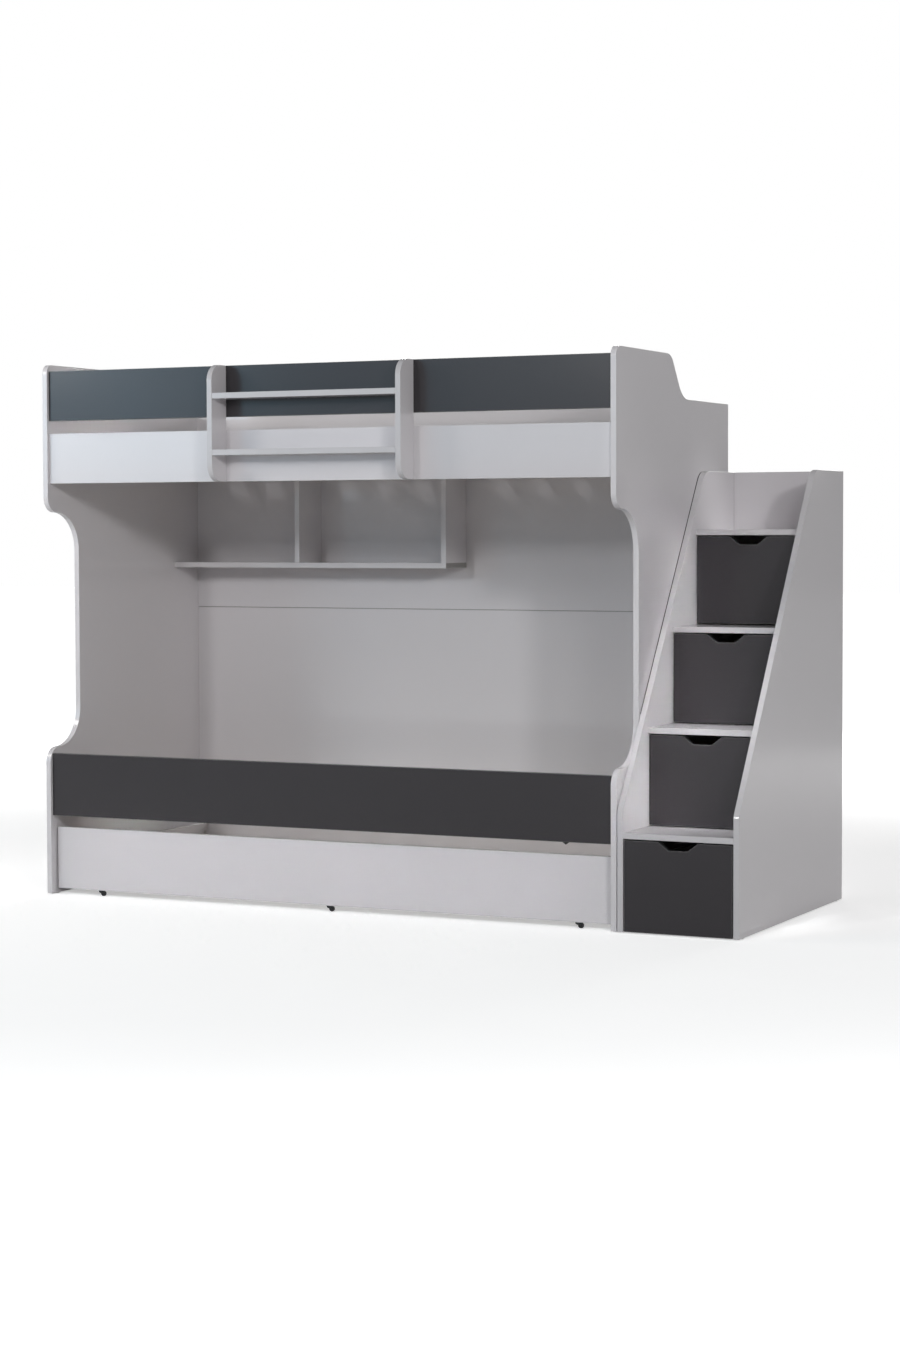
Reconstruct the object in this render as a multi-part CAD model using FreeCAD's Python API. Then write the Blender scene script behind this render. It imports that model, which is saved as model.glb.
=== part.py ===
"""Panel-built bunk bed with a roll-out trundle and a staircase of drawers.

Lengths are in millimetres. The bed is laid out with X along the bed from the outer face of the left
end panel, Y from the front edge of the end panels towards the back, and Z up from the floor. Every
piece is then moved so that the origin lies on the floor under the middle of the whole part.
"""
import FreeCAD
import Part
import math
import os

from FreeCAD import Vector

# Clearances: pieces that slide, fittings in their holes, and points that count as one
running_clearance = 0.3
fit_clearance = 0.1
touch_tolerance = 0.0001

# Boards and the room between them
board = 18.0
inner_length = 2004.0
inner_depth = 900.0
rail_recess = 10.0
glide_height = 3.0
glide_radius = 8.0
glide_inset = 45.0

# Heights, stacked from the floor
trundle_lift = 19.0
trundle_front_height = 203.5
trundle_headroom = 39.5
lower_rail_height = 205.5
bunk_access_height = 888.5
upper_rail_height = 163.0
guard_gap = 41.5
guard_height = 162.5
guard_headroom = 21.5

# Outline of the end panels
front_corner_radius = 30.0
crest_length = 410.0
crest_radius = 62.0
slope_length = 83.0
dip_radius = 97.0
rear_drop = 135.5
lobe_radius = 50.0
bay_radius = 125.0
upper_lobe_margin = 94.0
lower_lobe_margin = 19.5

# Back panels
back_panel_drop = 16.0

# Slatted bases
slat_count = 14
slat_width = 70.0
slat_thickness = 18.0
slat_end_clearance = 1.0
ledger_width = 30.0
ledger_height = 30.0
upper_ledger_rise = 22.0
lower_ledger_rise = 40.0

# Rack on the front of the upper bunk
rack_width = 686.0
rack_depth = 88.0
rack_corner_radius = 52.0
rack_lower_shelf_rise = 81.0
rack_shelf_spacing = 178.0

# Shelf on the back wall of the lower bunk
wall_shelf_length = 1076.0
wall_shelf_depth = 158.0
wall_shelf_bay = 491.0
wall_shelf_height = 289.0

# Trundle
trundle_recess = 28.0
trundle_side_gap = 7.0
trundle_side_inset = 20.0
trundle_rear_gap = 16.0
trundle_box_height = 131.0
trundle_ledger_rise = 40.0
trundle_slat_count = 14

# Bracket behind the lower rail, under the base's ledger
bracket_from_right = 159.0
bracket_width = 29.0
bracket_plate = 3.0
bracket_drop = 10.0
bracket_tip_radius = 2.0
bracket_screw_length = 16.0
bracket_screw_spacing = 14.0

# Casters
caster_left_inset = 158.5
caster_right_inset = 119.5
caster_trail = 14.1
wheel_radius = 9.2
wheel_width = 8.0
wheel_edge_radius = 1.5
wheel_dish_depth = 1.2
wheel_dish_radius = 5.8
axle_radius = 1.5
shaft_clearance = 0.05
fork_arm = 1.6
fork_gap = 0.4
fork_eye_radius = 3.4
fork_crown_radius = 4.5
fork_crown_height = 4.5
stem_radius = 3.5
stem_length = 30.0
socket_radius = 5.0
socket_flange_radius = 5.8
socket_flange = 1.5

# Staircase
step_count = 4
step_rise = 300.0
step_going = 200.0
stair_gap = 3.0
stair_inner_width = 349.0
stair_overhang = 17.0
stringer_nose = 64.0
stringer_top = 186.0
stringer_lower_radius = 45.0
stringer_upper_radius = 65.0

# Drawers under the treads
drawer_setback = 1.5
drawer_side_gap = 3.0
drawer_top_gap = 4.0
drawer_bottom_gap = 4.0
drawer_board = 15.0
drawer_bottom_board = 4.0
drawer_bottom_rise = 12.0
drawer_box_lift = 22.0
drawer_box_height = 190.0
longest_drawer = 600.0
drawer_rear_gap = 25.5
notch_top_width = 125.0
notch_floor_width = 60.0
notch_depth = 25.0
notch_radius = 8.0

# Drawer runners
runner_room = 12.5
runner_sheet = 1.2
runner_height = 24.0
runner_flange = 9.0
runner_rise = 8.0

# Cam fittings
cam_radius = 7.4
cam_depth = 12.5
cam_setback = 24.0
cam_slot_width = 1.6
cam_slot_length = 9.0
cam_slot_depth = 1.4
cam_bolt_radius = 3.3
cam_bolt_anchor = 11.0
cam_bolt_grip = 3.0
cam_edge_margin = 33.0

# Wood screws
screw_radius = 2.0
screw_length = 38.0
screw_head_radius = 4.0
screw_head_depth = 2.5
ledger_screw_count = 5
ledger_screw_inset = 150.0
edge_screw_inset = 60.0

# Bolts that join the staircase to the bed
joining_radius = 4.0
joining_head_radius = 8.5
joining_head = 2.5
joining_front_inset = 450.0
joining_rear_inset = 146.0
joining_drop = 70.0

# Places derived from the sizes above
bed_length = inner_length + board + board
rail_inner = rail_recess + board
back_face = rail_inner + inner_depth
bed_depth = back_face + board
right_panel_inner = bed_length - board
trundle_top = trundle_lift + trundle_front_height
lower_rail_bottom = trundle_top + trundle_headroom
lower_rail_top = lower_rail_bottom + lower_rail_height
upper_rail_bottom = lower_rail_top + bunk_access_height
upper_rail_top = upper_rail_bottom + upper_rail_height
guard_bottom = upper_rail_top + guard_gap
guard_top = guard_bottom + guard_height
panel_top = guard_top + guard_headroom
rear_top = panel_top - rear_drop
back_bottom = lower_rail_bottom - back_panel_drop
back_seam = (back_bottom + rear_top) / 2
upper_ledger_bottom = upper_rail_bottom + upper_ledger_rise
lower_ledger_bottom = lower_rail_bottom + lower_ledger_rise
rack_front = rail_recess - rack_depth
rack_left = (bed_length - rack_width) / 2
rack_right = rack_left + rack_width
wall_shelf_top = upper_ledger_bottom - wall_shelf_height
wall_shelf_front = back_face - wall_shelf_depth
trundle_left = board + trundle_side_gap
trundle_right = right_panel_inner - trundle_side_gap
trundle_inner_front = trundle_recess + board
trundle_inner_rear = bed_depth - trundle_rear_gap - board
trundle_box_left = trundle_left + trundle_side_inset
trundle_box_right = trundle_right - trundle_side_inset
trundle_box_top = trundle_lift + trundle_box_height
trundle_ledger_bottom = trundle_lift + trundle_ledger_rise
stair_left = bed_length + stair_gap
stair_depth = bed_depth + stair_overhang
stair_inner_left = stair_left + board
stair_inner_right = stair_inner_left + stair_inner_width
stair_right = stair_inner_right + board
stair_back_face = stair_depth - board
stair_top = step_rise * step_count + stringer_top
pocket_radius = cam_radius + fit_clearance
cam_bore_radius = cam_bolt_radius + fit_clearance
overall_centre = Vector(stair_right / 2, (rack_front + stair_depth) / 2, 0)

AXIS_X = Vector(1, 0, 0)
AXIS_Y = Vector(0, 1, 0)
AXIS_Z = Vector(0, 0, 1)


def block(x_low, x_high, y_low, y_high, z_low, z_high):
    """A plain rectangular board between two corners."""
    corner = Vector(x_low, y_low, z_low)
    return Part.makeBox(x_high - x_low, y_high - y_low, z_high - z_low, corner)


def rod(radius, start, end):
    """A round bar between two points."""
    run = end - start
    return Part.makeCylinder(radius, run.Length, start, run)


def rounded_outline(corners):
    """A closed wire through (a, b, radius) corners, each rounded by an arc of its radius."""
    arcs = []
    for index, (a, b, radius) in enumerate(corners):
        here = Vector(a, b, 0)
        before = Vector(corners[index - 1][0], corners[index - 1][1], 0)
        after_corner = corners[(index + 1) % len(corners)]
        after = Vector(after_corner[0], after_corner[1], 0)
        back = (before - here).normalize()
        ahead = (after - here).normalize()
        if radius == 0:
            arcs.append((here, None, here))
            continue
        half = back.getAngle(ahead) / 2
        reach = radius / math.tan(half)
        middle = (back + ahead).normalize()
        apex = here + middle * (radius / math.sin(half) - radius)
        arcs.append((here + back * reach, apex, here + ahead * reach))
    edges = []
    for index, (start, apex, end) in enumerate(arcs):
        if apex is not None:
            edges.append(Part.Arc(start, apex, end).toShape())
        following = arcs[(index + 1) % len(arcs)][0]
        if (following - end).Length > touch_tolerance:
            edges.append(Part.LineSegment(end, following).toShape())
    return Part.Wire(edges)


def upright_board(corners, x_low, thickness):
    """A board standing across the bed, with its outline in (Y, Z) corners."""
    solid = Part.Face(rounded_outline(corners)).extrude(Vector(0, 0, thickness))
    turn = FreeCAD.Rotation(AXIS_Y, AXIS_Z, AXIS_X, "ZXY")
    return solid.transformed(FreeCAD.Placement(Vector(x_low, 0, 0), turn).toMatrix())


def facing_board(corners, y_low, thickness):
    """A board standing along the bed, with its outline in (X, Z) corners."""
    solid = Part.Face(rounded_outline(corners)).extrude(Vector(0, 0, thickness))
    turn = FreeCAD.Rotation(AXIS_X, AXIS_Z, AXIS_Y.negative(), "ZXY")
    return solid.transformed(FreeCAD.Placement(Vector(0, y_low + thickness, 0), turn).toMatrix())


def spread(count, low, high):
    """Evenly spaced places from low to high, both ends included."""
    step = (high - low) / (count - 1)
    return [low + step * index for index in range(count)]


def end_panel(x_low):
    """An end panel with its front bay, its raised front and its lower rear top."""
    radii = crest_radius + dip_radius
    reach = math.hypot(radii, slope_length)
    slope = math.atan2(radii, slope_length) + math.asin((rear_drop - radii) / reach)
    crest_corner = crest_length + crest_radius * math.tan(slope / 2)
    dip_corner = crest_corner + rear_drop / math.tan(slope)
    bay_depth = lobe_radius + bay_radius
    lower_neck = lower_rail_top + lower_lobe_margin
    upper_neck = upper_rail_bottom - upper_lobe_margin
    corners = [
        (0, glide_height, 0),
        (0, lower_neck, lobe_radius),
        (bay_depth, lower_neck, bay_radius),
        (bay_depth, upper_neck, bay_radius),
        (0, upper_neck, lobe_radius),
        (0, panel_top, front_corner_radius),
        (crest_corner, panel_top, crest_radius),
        (dip_corner, rear_top, dip_radius),
        (bed_depth, rear_top, 0),
        (bed_depth, glide_height, 0),
    ]
    return upright_board(corners, x_low, board)


def stringer(x_low):
    """A side of the staircase, with its slanted front."""
    nose = step_rise + stringer_nose
    slope_run = (stair_top - nose) * step_going / step_rise
    corners = [
        (0, glide_height, 0),
        (0, nose, stringer_lower_radius),
        (slope_run, stair_top, stringer_upper_radius),
        (stair_depth, stair_top, 0),
        (stair_depth, glide_height, 0),
    ]
    return upright_board(corners, x_low, board)


def rack_side(x_low):
    """A side of the front rack, round at its front corners."""
    corners = [
        (rail_recess, upper_rail_bottom, 0),
        (rail_recess, guard_top, 0),
        (rack_front, guard_top, rack_corner_radius),
        (rack_front, upper_rail_bottom, rack_corner_radius),
    ]
    return upright_board(corners, x_low, board)


def drawer_front(number):
    """A drawer's front, with the finger notch in its top edge."""
    left = stair_inner_left + drawer_side_gap
    right = stair_inner_right - drawer_side_gap
    middle = (left + right) / 2
    low = drawer_floor(number) + drawer_bottom_gap
    high = step_rise * number - board - drawer_top_gap
    corners = [
        (left, low, 0),
        (right, low, 0),
        (right, high, 0),
        (middle + notch_top_width / 2, high, notch_radius),
        (middle + notch_floor_width / 2, high - notch_depth, notch_radius),
        (middle - notch_floor_width / 2, high - notch_depth, notch_radius),
        (middle - notch_top_width / 2, high, notch_radius),
        (left, high, 0),
    ]
    return facing_board(corners, drawer_face(number), board)


def drawer_floor(number):
    """Height of the surface under a drawer: the floor, or the tread below."""
    return step_rise * (number - 1)


def drawer_face(number):
    """Place of a drawer's front face, just behind the edge of its tread."""
    return step_going * (number - 1) + drawer_setback


def drawer_length(number):
    """Length of a drawer's box: the room behind its front, up to the longest drawer."""
    room = stair_back_face - drawer_face(number) - board - drawer_rear_gap
    return min(longest_drawer, room)


def drawer_box(number):
    """A drawer's two sides, its back and the bottom set in their grooves."""
    left = stair_inner_left + runner_room
    right = stair_inner_right - runner_room
    front = drawer_face(number) + board
    rear = front + drawer_length(number)
    low = drawer_floor(number) + drawer_box_lift
    high = low + drawer_box_height
    bottom_low = low + drawer_bottom_rise
    bottom_high = bottom_low + drawer_bottom_board
    groove = drawer_board / 2
    bottom = block(left + groove, right - groove, front, rear - groove, bottom_low, bottom_high)
    sides = [
        block(left, left + drawer_board, front, rear, low, high),
        block(right - drawer_board, right, front, rear, low, high),
        block(left + drawer_board, right - drawer_board, rear - drawer_board, rear, low, high),
    ]
    return [side.cut(bottom) for side in sides] + [bottom]


def runner_base(number):
    """Height of a drawer's runners."""
    return drawer_floor(number) + drawer_box_lift + runner_rise


def fixed_runners(number):
    """The two steel channels on the stair sides that carry a drawer."""
    low = runner_base(number)
    high = low + runner_height
    front = drawer_face(number) + board + running_clearance
    rear = front + drawer_length(number) - running_clearance
    rails = []
    for wall, inward in ((stair_inner_left, 1), (stair_inner_right, -1)):
        web = sorted((wall, wall + inward * runner_sheet))
        reach = sorted((wall, wall + inward * runner_flange))
        rail = block(web[0], web[1], front, rear, low, high)
        rail = rail.fuse(block(reach[0], reach[1], front, rear, low, low + runner_sheet))
        rail = rail.fuse(block(reach[0], reach[1], front, rear, high - runner_sheet, high))
        rails.append(rail.removeSplitter())
    return rails


def drawer_runners(number):
    """The two steel angles on a drawer's sides, whose tongues slide in the channels."""
    tongue_low = runner_base(number) + runner_sheet + running_clearance
    tongue_high = tongue_low + runner_sheet
    front = drawer_face(number) + board
    rear = front + drawer_length(number)
    high = drawer_floor(number) + drawer_box_lift + runner_rise + runner_height
    angles = []
    for wall, inward in ((stair_inner_left, 1), (stair_inner_right, -1)):
        side = wall + inward * runner_room
        web = sorted((side - inward * runner_sheet, side))
        reach = sorted((wall + inward * (runner_sheet + running_clearance), side))
        angle = block(web[0], web[1], front, rear, tongue_low, high)
        angle = angle.fuse(block(reach[0], reach[1], front, rear, tongue_low, tongue_high))
        angles.append(angle.removeSplitter())
    return angles


def slats(count, x_low, x_high, y_low, y_high, z_low):
    """A row of slats across the bed, evenly spread between two end boards."""
    half = slat_width / 2
    room = (x_high - x_low) / count / 2
    front = y_low + slat_end_clearance
    rear = y_high - slat_end_clearance
    top = z_low + slat_thickness
    row = []
    for middle in spread(count, x_low + room, x_high - room):
        row.append(block(middle - half, middle + half, front, rear, z_low, top))
    return row


class CamJoint:
    """A cam in one board that draws in a bolt from the board at its end.

    end is on the meeting faces at mid thickness, along points into the board that holds the cam, and
    face points from mid thickness to the surface where the cam shows.
    """

    def __init__(self, end, along, face):
        centre = end + along * cam_setback
        surface = centre + face * (board / 2)
        floor = surface - face * cam_depth
        bolt_start = end - along * cam_bolt_anchor
        bolt_end = centre - along * cam_bolt_grip
        bore = rod(cam_bore_radius, bolt_start, bolt_end)
        across = along.cross(face)
        disc = rod(cam_radius, floor, surface).cut(bore)
        for arm in (along, across):
            disc = disc.cut(self.slot(surface, arm, face))
        self.solids = [disc, rod(cam_bolt_radius, bolt_start, bolt_end)]
        self.cutter = rod(pocket_radius, floor, surface).fuse(bore)

    @staticmethod
    def slot(surface, arm, face):
        """One arm of the cross that a screwdriver turns."""
        side = arm.cross(face)
        corner = surface - arm * (cam_slot_length / 2) - side * (cam_slot_width / 2)
        ends = [corner, corner + arm * cam_slot_length]
        ends.append(ends[1] + side * cam_slot_width)
        ends.append(corner + side * cam_slot_width)
        outline = Part.Face(Part.makePolygon(ends + [corner]))
        return outline.extrude(face * -cam_slot_depth)


class WoodScrew:
    """A countersunk screw, driven from a surface along a direction."""

    def __init__(self, surface, along, length=screw_length):
        self.solids = [self.body(surface, along, length, 0)]
        self.cutter = self.body(surface, along, length, fit_clearance)

    @staticmethod
    def body(surface, along, length, extra):
        """The head's cone and the shank, with some extra radius."""
        neck = screw_radius + extra
        head = Part.makeCone(screw_head_radius + extra, neck, screw_head_depth, surface, along)
        return head.fuse(rod(neck, surface + along * screw_head_depth, surface + along * length))


class JoiningBolt:
    """A sleeve bolt through the right end panel and the left stair side, with both heads."""

    def __init__(self, y, z):
        inner = Vector(right_panel_inner, y, z)
        outer = Vector(stair_inner_left, y, z)
        bolt = rod(joining_radius, inner, outer)
        bolt = bolt.fuse(rod(joining_head_radius, inner - AXIS_X * joining_head, inner))
        bolt = bolt.fuse(rod(joining_head_radius, outer, outer + AXIS_X * joining_head))
        self.solids = [bolt.removeSplitter()]
        self.cutter = rod(joining_radius + fit_clearance, inner, outer)


def carve(pieces, names, fittings):
    """Cut the seats of the fittings out of the named pieces."""
    for name in names:
        cutters = [fitting.cutter for fitting in fittings]
        pieces[name] = [solid.cut(cutters) for solid in pieces[name]]


def collect(fittings):
    """All solids of a list of fittings."""
    return [solid for fitting in fittings for solid in fitting.solids]


def rail_cams(y_low, z_low, z_high, count):
    """Cams at both ends of a board that runs along the bed, seen from behind."""
    middle = y_low + board / 2
    joints = []
    for z in spread(count, z_low + cam_edge_margin, z_high - cam_edge_margin):
        joints.append(CamJoint(Vector(board, middle, z), AXIS_X, AXIS_Y))
        joints.append(CamJoint(Vector(right_panel_inner, middle, z), AXIS_X.negative(), AXIS_Y))
    return joints


def tread_cams(number):
    """Cams under both ends of a tread."""
    middle = step_rise * number - board / 2
    front = step_going * (number - 1) + cam_edge_margin
    rear = stair_back_face - cam_edge_margin
    joints = []
    for y in (front, rear):
        joints.append(CamJoint(Vector(stair_inner_left, y, middle), AXIS_X, AXIS_Z.negative()))
        joints.append(CamJoint(Vector(stair_inner_right, y, middle), AXIS_X.negative(), AXIS_Z.negative()))
    return joints


def caster_places():
    """Stem axes of the casters: a front row and a rear row, from left to right."""
    front = trundle_recess + board / 2
    rear = trundle_inner_rear + board / 2
    columns = spread(3, trundle_left + caster_left_inset, trundle_right - caster_right_inset)
    return [Vector(x, y, trundle_lift) for y in (front, rear) for x in columns]


def caster_socket(place):
    """The sleeve in a board's bottom edge that a caster's stem turns in."""
    top = place + AXIS_Z * stem_length
    flange = rod(socket_flange_radius, place - AXIS_Z * socket_flange, place)
    sleeve = rod(socket_radius, place, top).fuse(flange)
    bore = rod(stem_radius + shaft_clearance, place - AXIS_Z * socket_flange, top)
    return sleeve.cut(bore).removeSplitter()


def caster_seat(place):
    """The hole in a board's bottom edge for a caster's sleeve."""
    return rod(socket_radius + fit_clearance, place, place + AXIS_Z * (stem_length + running_clearance))


def axle_centre(place):
    """Middle of a caster's wheel, which trails to the right at rest."""
    return Vector(place.x + caster_trail, place.y, wheel_radius)


def caster_fork(place):
    """A caster's stem, crown and two arms, and the axle riveted through them."""
    crown_top = Vector(place.x, place.y, trundle_lift - socket_flange - running_clearance)
    crown_low = crown_top - AXIS_Z * fork_crown_height
    centre = axle_centre(place)
    inner = wheel_width / 2 + fork_gap
    outer = inner + fork_arm
    stem_end = Vector(place.x, place.y, trundle_lift + stem_length - running_clearance)
    fork = rod(fork_crown_radius, crown_low, crown_top).fuse(rod(stem_radius, crown_top, stem_end))
    web_end = centre.x - wheel_radius - fork_gap
    fork = fork.fuse(block(place.x, web_end, place.y - outer, place.y + outer, crown_low.z, crown_top.z))
    for side in (-1, 1):
        near = place.y + side * inner
        far = place.y + side * outer
        eye = rod(fork_eye_radius, Vector(centre.x, near, centre.z), Vector(centre.x, far, centre.z))
        arm_points = [
            Vector(place.x, near, crown_top.z),
            Vector(web_end, near, crown_top.z),
            Vector(centre.x + fork_eye_radius, near, centre.z),
            Vector(centre.x, near, centre.z - fork_eye_radius),
            Vector(place.x, near, crown_low.z),
        ]
        arm = Part.Face(Part.makePolygon(arm_points + arm_points[:1]))
        fork = fork.fuse([eye, arm.extrude(Vector(0, far - near, 0))])
    axle = rod(axle_radius, centre - AXIS_Y * outer, centre + AXIS_Y * outer)
    return [fork.cut(axle).removeSplitter(), axle]


def caster_wheel(place):
    """A small wheel with a rounded tread and a dished hub."""
    centre = axle_centre(place)
    half = AXIS_Y * (wheel_width / 2)
    wheel = rod(wheel_radius, centre - half, centre + half)
    rims = [edge for edge in wheel.Edges if edge.isClosed()]
    wheel = wheel.makeFillet(wheel_edge_radius, rims)
    for outward in (AXIS_Y.negative(), AXIS_Y):
        face = centre + outward * (wheel_width / 2)
        wheel = wheel.cut(rod(wheel_dish_radius, face - outward * wheel_dish_depth, face))
    return wheel.cut(rod(axle_radius + shaft_clearance, centre - half, centre + half))


def ledger_bracket():
    """An angle behind the lower rail that carries the ledger, with a pointed lower end."""
    middle = right_panel_inner - bracket_from_right
    left = middle - bracket_width / 2
    right = middle + bracket_width / 2
    corners = [
        (left, lower_ledger_bottom, 0),
        (left, lower_rail_bottom, 0),
        (middle, lower_rail_bottom - bracket_drop, bracket_tip_radius),
        (right, lower_rail_bottom, 0),
        (right, lower_ledger_bottom, 0),
    ]
    plate = facing_board(corners, rail_inner, bracket_plate)
    seat = lower_ledger_bottom - bracket_plate
    arm = block(left, right, rail_inner, rail_inner + ledger_width, seat, lower_ledger_bottom)
    return plate.fuse(arm).removeSplitter()


def foot_glides():
    """Glides under the end panels and the stair sides."""
    feet = []
    for x in (board / 2, bed_length - board / 2, stair_left + board / 2, stair_right - board / 2):
        depth = bed_depth if x < bed_length else stair_depth
        for y in (glide_inset, depth - glide_inset):
            feet.append(rod(glide_radius, Vector(x, y, 0), Vector(x, y, glide_height)))
    return feet


def build_bed(pieces):
    """End panels, rails, back, bases, rack and wall shelf."""
    pieces["left_end_panel"] = [end_panel(0)]
    pieces["right_end_panel"] = [end_panel(right_panel_inner)]
    heights = {
        "lower_front_rail": (lower_rail_bottom, lower_rail_top),
        "upper_front_rail": (upper_rail_bottom, upper_rail_top),
        "upper_guard_board": (guard_bottom, guard_top),
    }
    for name, (low, high) in heights.items():
        pieces[name] = [block(board, right_panel_inner, rail_recess, rail_inner, low, high)]
    backs = {"back_panel_upper": (back_seam, rear_top), "back_panel_lower": (back_bottom, back_seam)}
    for name, (low, high) in backs.items():
        pieces[name] = [block(board, right_panel_inner, back_face, bed_depth, low, high)]
    ledgers = []
    for low in (lower_ledger_bottom, upper_ledger_bottom):
        for y in (rail_inner, back_face - ledger_width):
            ledgers.append(block(board, right_panel_inner, y, y + ledger_width, low, low + ledger_height))
    pieces["bed_ledgers"] = ledgers
    bases = {"lower_bed_slats": lower_ledger_bottom, "upper_bed_slats": upper_ledger_bottom}
    for name, low in bases.items():
        top = low + ledger_height
        pieces[name] = slats(slat_count, board, right_panel_inner, rail_inner, back_face, top)
    build_rack(pieces)
    build_wall_shelf(pieces)
    pieces["ledger_bracket"] = [ledger_bracket()]
    pieces["foot_glides"] = foot_glides()


def build_rack(pieces):
    """The rack on the front: two sides and the shelves between them."""
    pieces["rack_left_side"] = [rack_side(rack_left)]
    pieces["rack_right_side"] = [rack_side(rack_right - board)]
    shelves = []
    for rise in (rack_lower_shelf_rise, rack_lower_shelf_rise + rack_shelf_spacing):
        low = upper_rail_bottom + rise
        inner_right = rack_right - board
        shelves.append(block(rack_left + board, inner_right, rack_front, rail_recess, low, low + board))
    pieces["rack_shelves"] = shelves


def build_wall_shelf(pieces):
    """The shelf in the lower bunk, with its divider and end."""
    low = wall_shelf_top - board
    right = board + wall_shelf_length
    divider = board + wall_shelf_bay
    depth = (wall_shelf_front, back_face)
    height = (wall_shelf_top, upper_ledger_bottom)
    pieces["wall_shelf_board"] = [block(board, right, *depth, low, wall_shelf_top)]
    pieces["wall_shelf_divider"] = [block(divider, divider + board, *depth, *height)]
    pieces["wall_shelf_end"] = [block(right - board, right, *depth, *height)]


def build_stairs(pieces):
    """Stair sides, back, treads and the channels that carry the drawers."""
    pieces["stair_left_stringer"] = [stringer(stair_left)]
    pieces["stair_right_stringer"] = [stringer(stair_inner_right)]
    pieces["stair_back_panel"] = [
        block(stair_inner_left, stair_inner_right, stair_back_face, stair_depth, glide_height, stair_top)
    ]
    rails = []
    for number in range(1, step_count + 1):
        top = step_rise * number
        front = step_going * (number - 1)
        tread = block(stair_inner_left, stair_inner_right, front, stair_back_face, top - board, top)
        pieces["stair_tread_%d" % number] = [tread]
        rails.extend(fixed_runners(number))
        pieces["drawer_%d_front" % number] = [drawer_front(number)]
        pieces["drawer_%d_box" % number] = drawer_box(number)
        pieces["drawer_%d_runners" % number] = drawer_runners(number)
    pieces["drawer_runner_rails"] = rails


def build_trundle(pieces):
    """The trundle's boards, its slatted base and its casters."""
    box = (trundle_lift, trundle_box_top)
    rear = trundle_inner_rear + board
    front_board = block(
        trundle_left, trundle_right, trundle_recess, trundle_inner_front, trundle_lift, trundle_top
    )
    rear_board = block(trundle_box_left, trundle_box_right, trundle_inner_rear, rear, *box)
    for place in caster_places():
        front_board = front_board.cut(caster_seat(place))
        rear_board = rear_board.cut(caster_seat(place))
    pieces["trundle_front"] = [front_board]
    pieces["trundle_rear_board"] = [rear_board]
    sides = []
    for x in (trundle_box_left, trundle_box_right - board):
        sides.append(block(x, x + board, trundle_inner_front, trundle_inner_rear, *box))
    pieces["trundle_sides"] = sides
    inner = (trundle_box_left + board, trundle_box_right - board)
    ledger_top = trundle_ledger_bottom + ledger_height
    ledgers = []
    for y in (trundle_inner_front, trundle_inner_rear - ledger_width):
        ledgers.append(block(*inner, y, y + ledger_width, trundle_ledger_bottom, ledger_top))
    pieces["trundle_ledgers"] = ledgers
    depth = (trundle_inner_front, trundle_inner_rear)
    pieces["trundle_slats"] = slats(trundle_slat_count, *inner, *depth, ledger_top)
    pieces["caster_sockets"] = [caster_socket(place) for place in caster_places()]
    for number, place in enumerate(caster_places(), start=1):
        pieces["caster_fork_%d" % number] = caster_fork(place)
        pieces["caster_wheel_%d" % number] = [caster_wheel(place)]


def fit_trundle(pieces):
    """Cams on the inner faces of the trundle's sides, and the screws in its ledgers."""
    joints = []
    heights = (trundle_lift + cam_edge_margin, trundle_box_top - cam_edge_margin)
    sides = ((trundle_box_left, AXIS_X), (trundle_box_right - board, AXIS_X.negative()))
    for x, face in sides:
        for z in heights:
            joints.append(CamJoint(Vector(x + board / 2, trundle_inner_front, z), AXIS_Y, face))
            joints.append(CamJoint(Vector(x + board / 2, trundle_inner_rear, z), AXIS_Y.negative(), face))
    carve(pieces, ("trundle_sides", "trundle_front", "trundle_rear_board"), joints)
    middle = trundle_ledger_bottom + ledger_height / 2
    low = trundle_box_left + ledger_screw_inset
    high = trundle_box_right - ledger_screw_inset
    screws = ledger_screws(low, high, trundle_inner_front, trundle_inner_rear, middle)
    carve(pieces, ("trundle_ledgers", "trundle_front", "trundle_rear_board"), screws)
    pieces["trundle_fittings"] = collect(joints + screws)


def ledger_screws(x_low, x_high, front, rear, z):
    """Screws through a front ledger and a rear one into the boards behind them."""
    screws = []
    for x in spread(ledger_screw_count, x_low, x_high):
        screws.append(WoodScrew(Vector(x, front + ledger_width, z), AXIS_Y.negative()))
        screws.append(WoodScrew(Vector(x, rear - ledger_width, z), AXIS_Y))
    return screws


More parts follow.
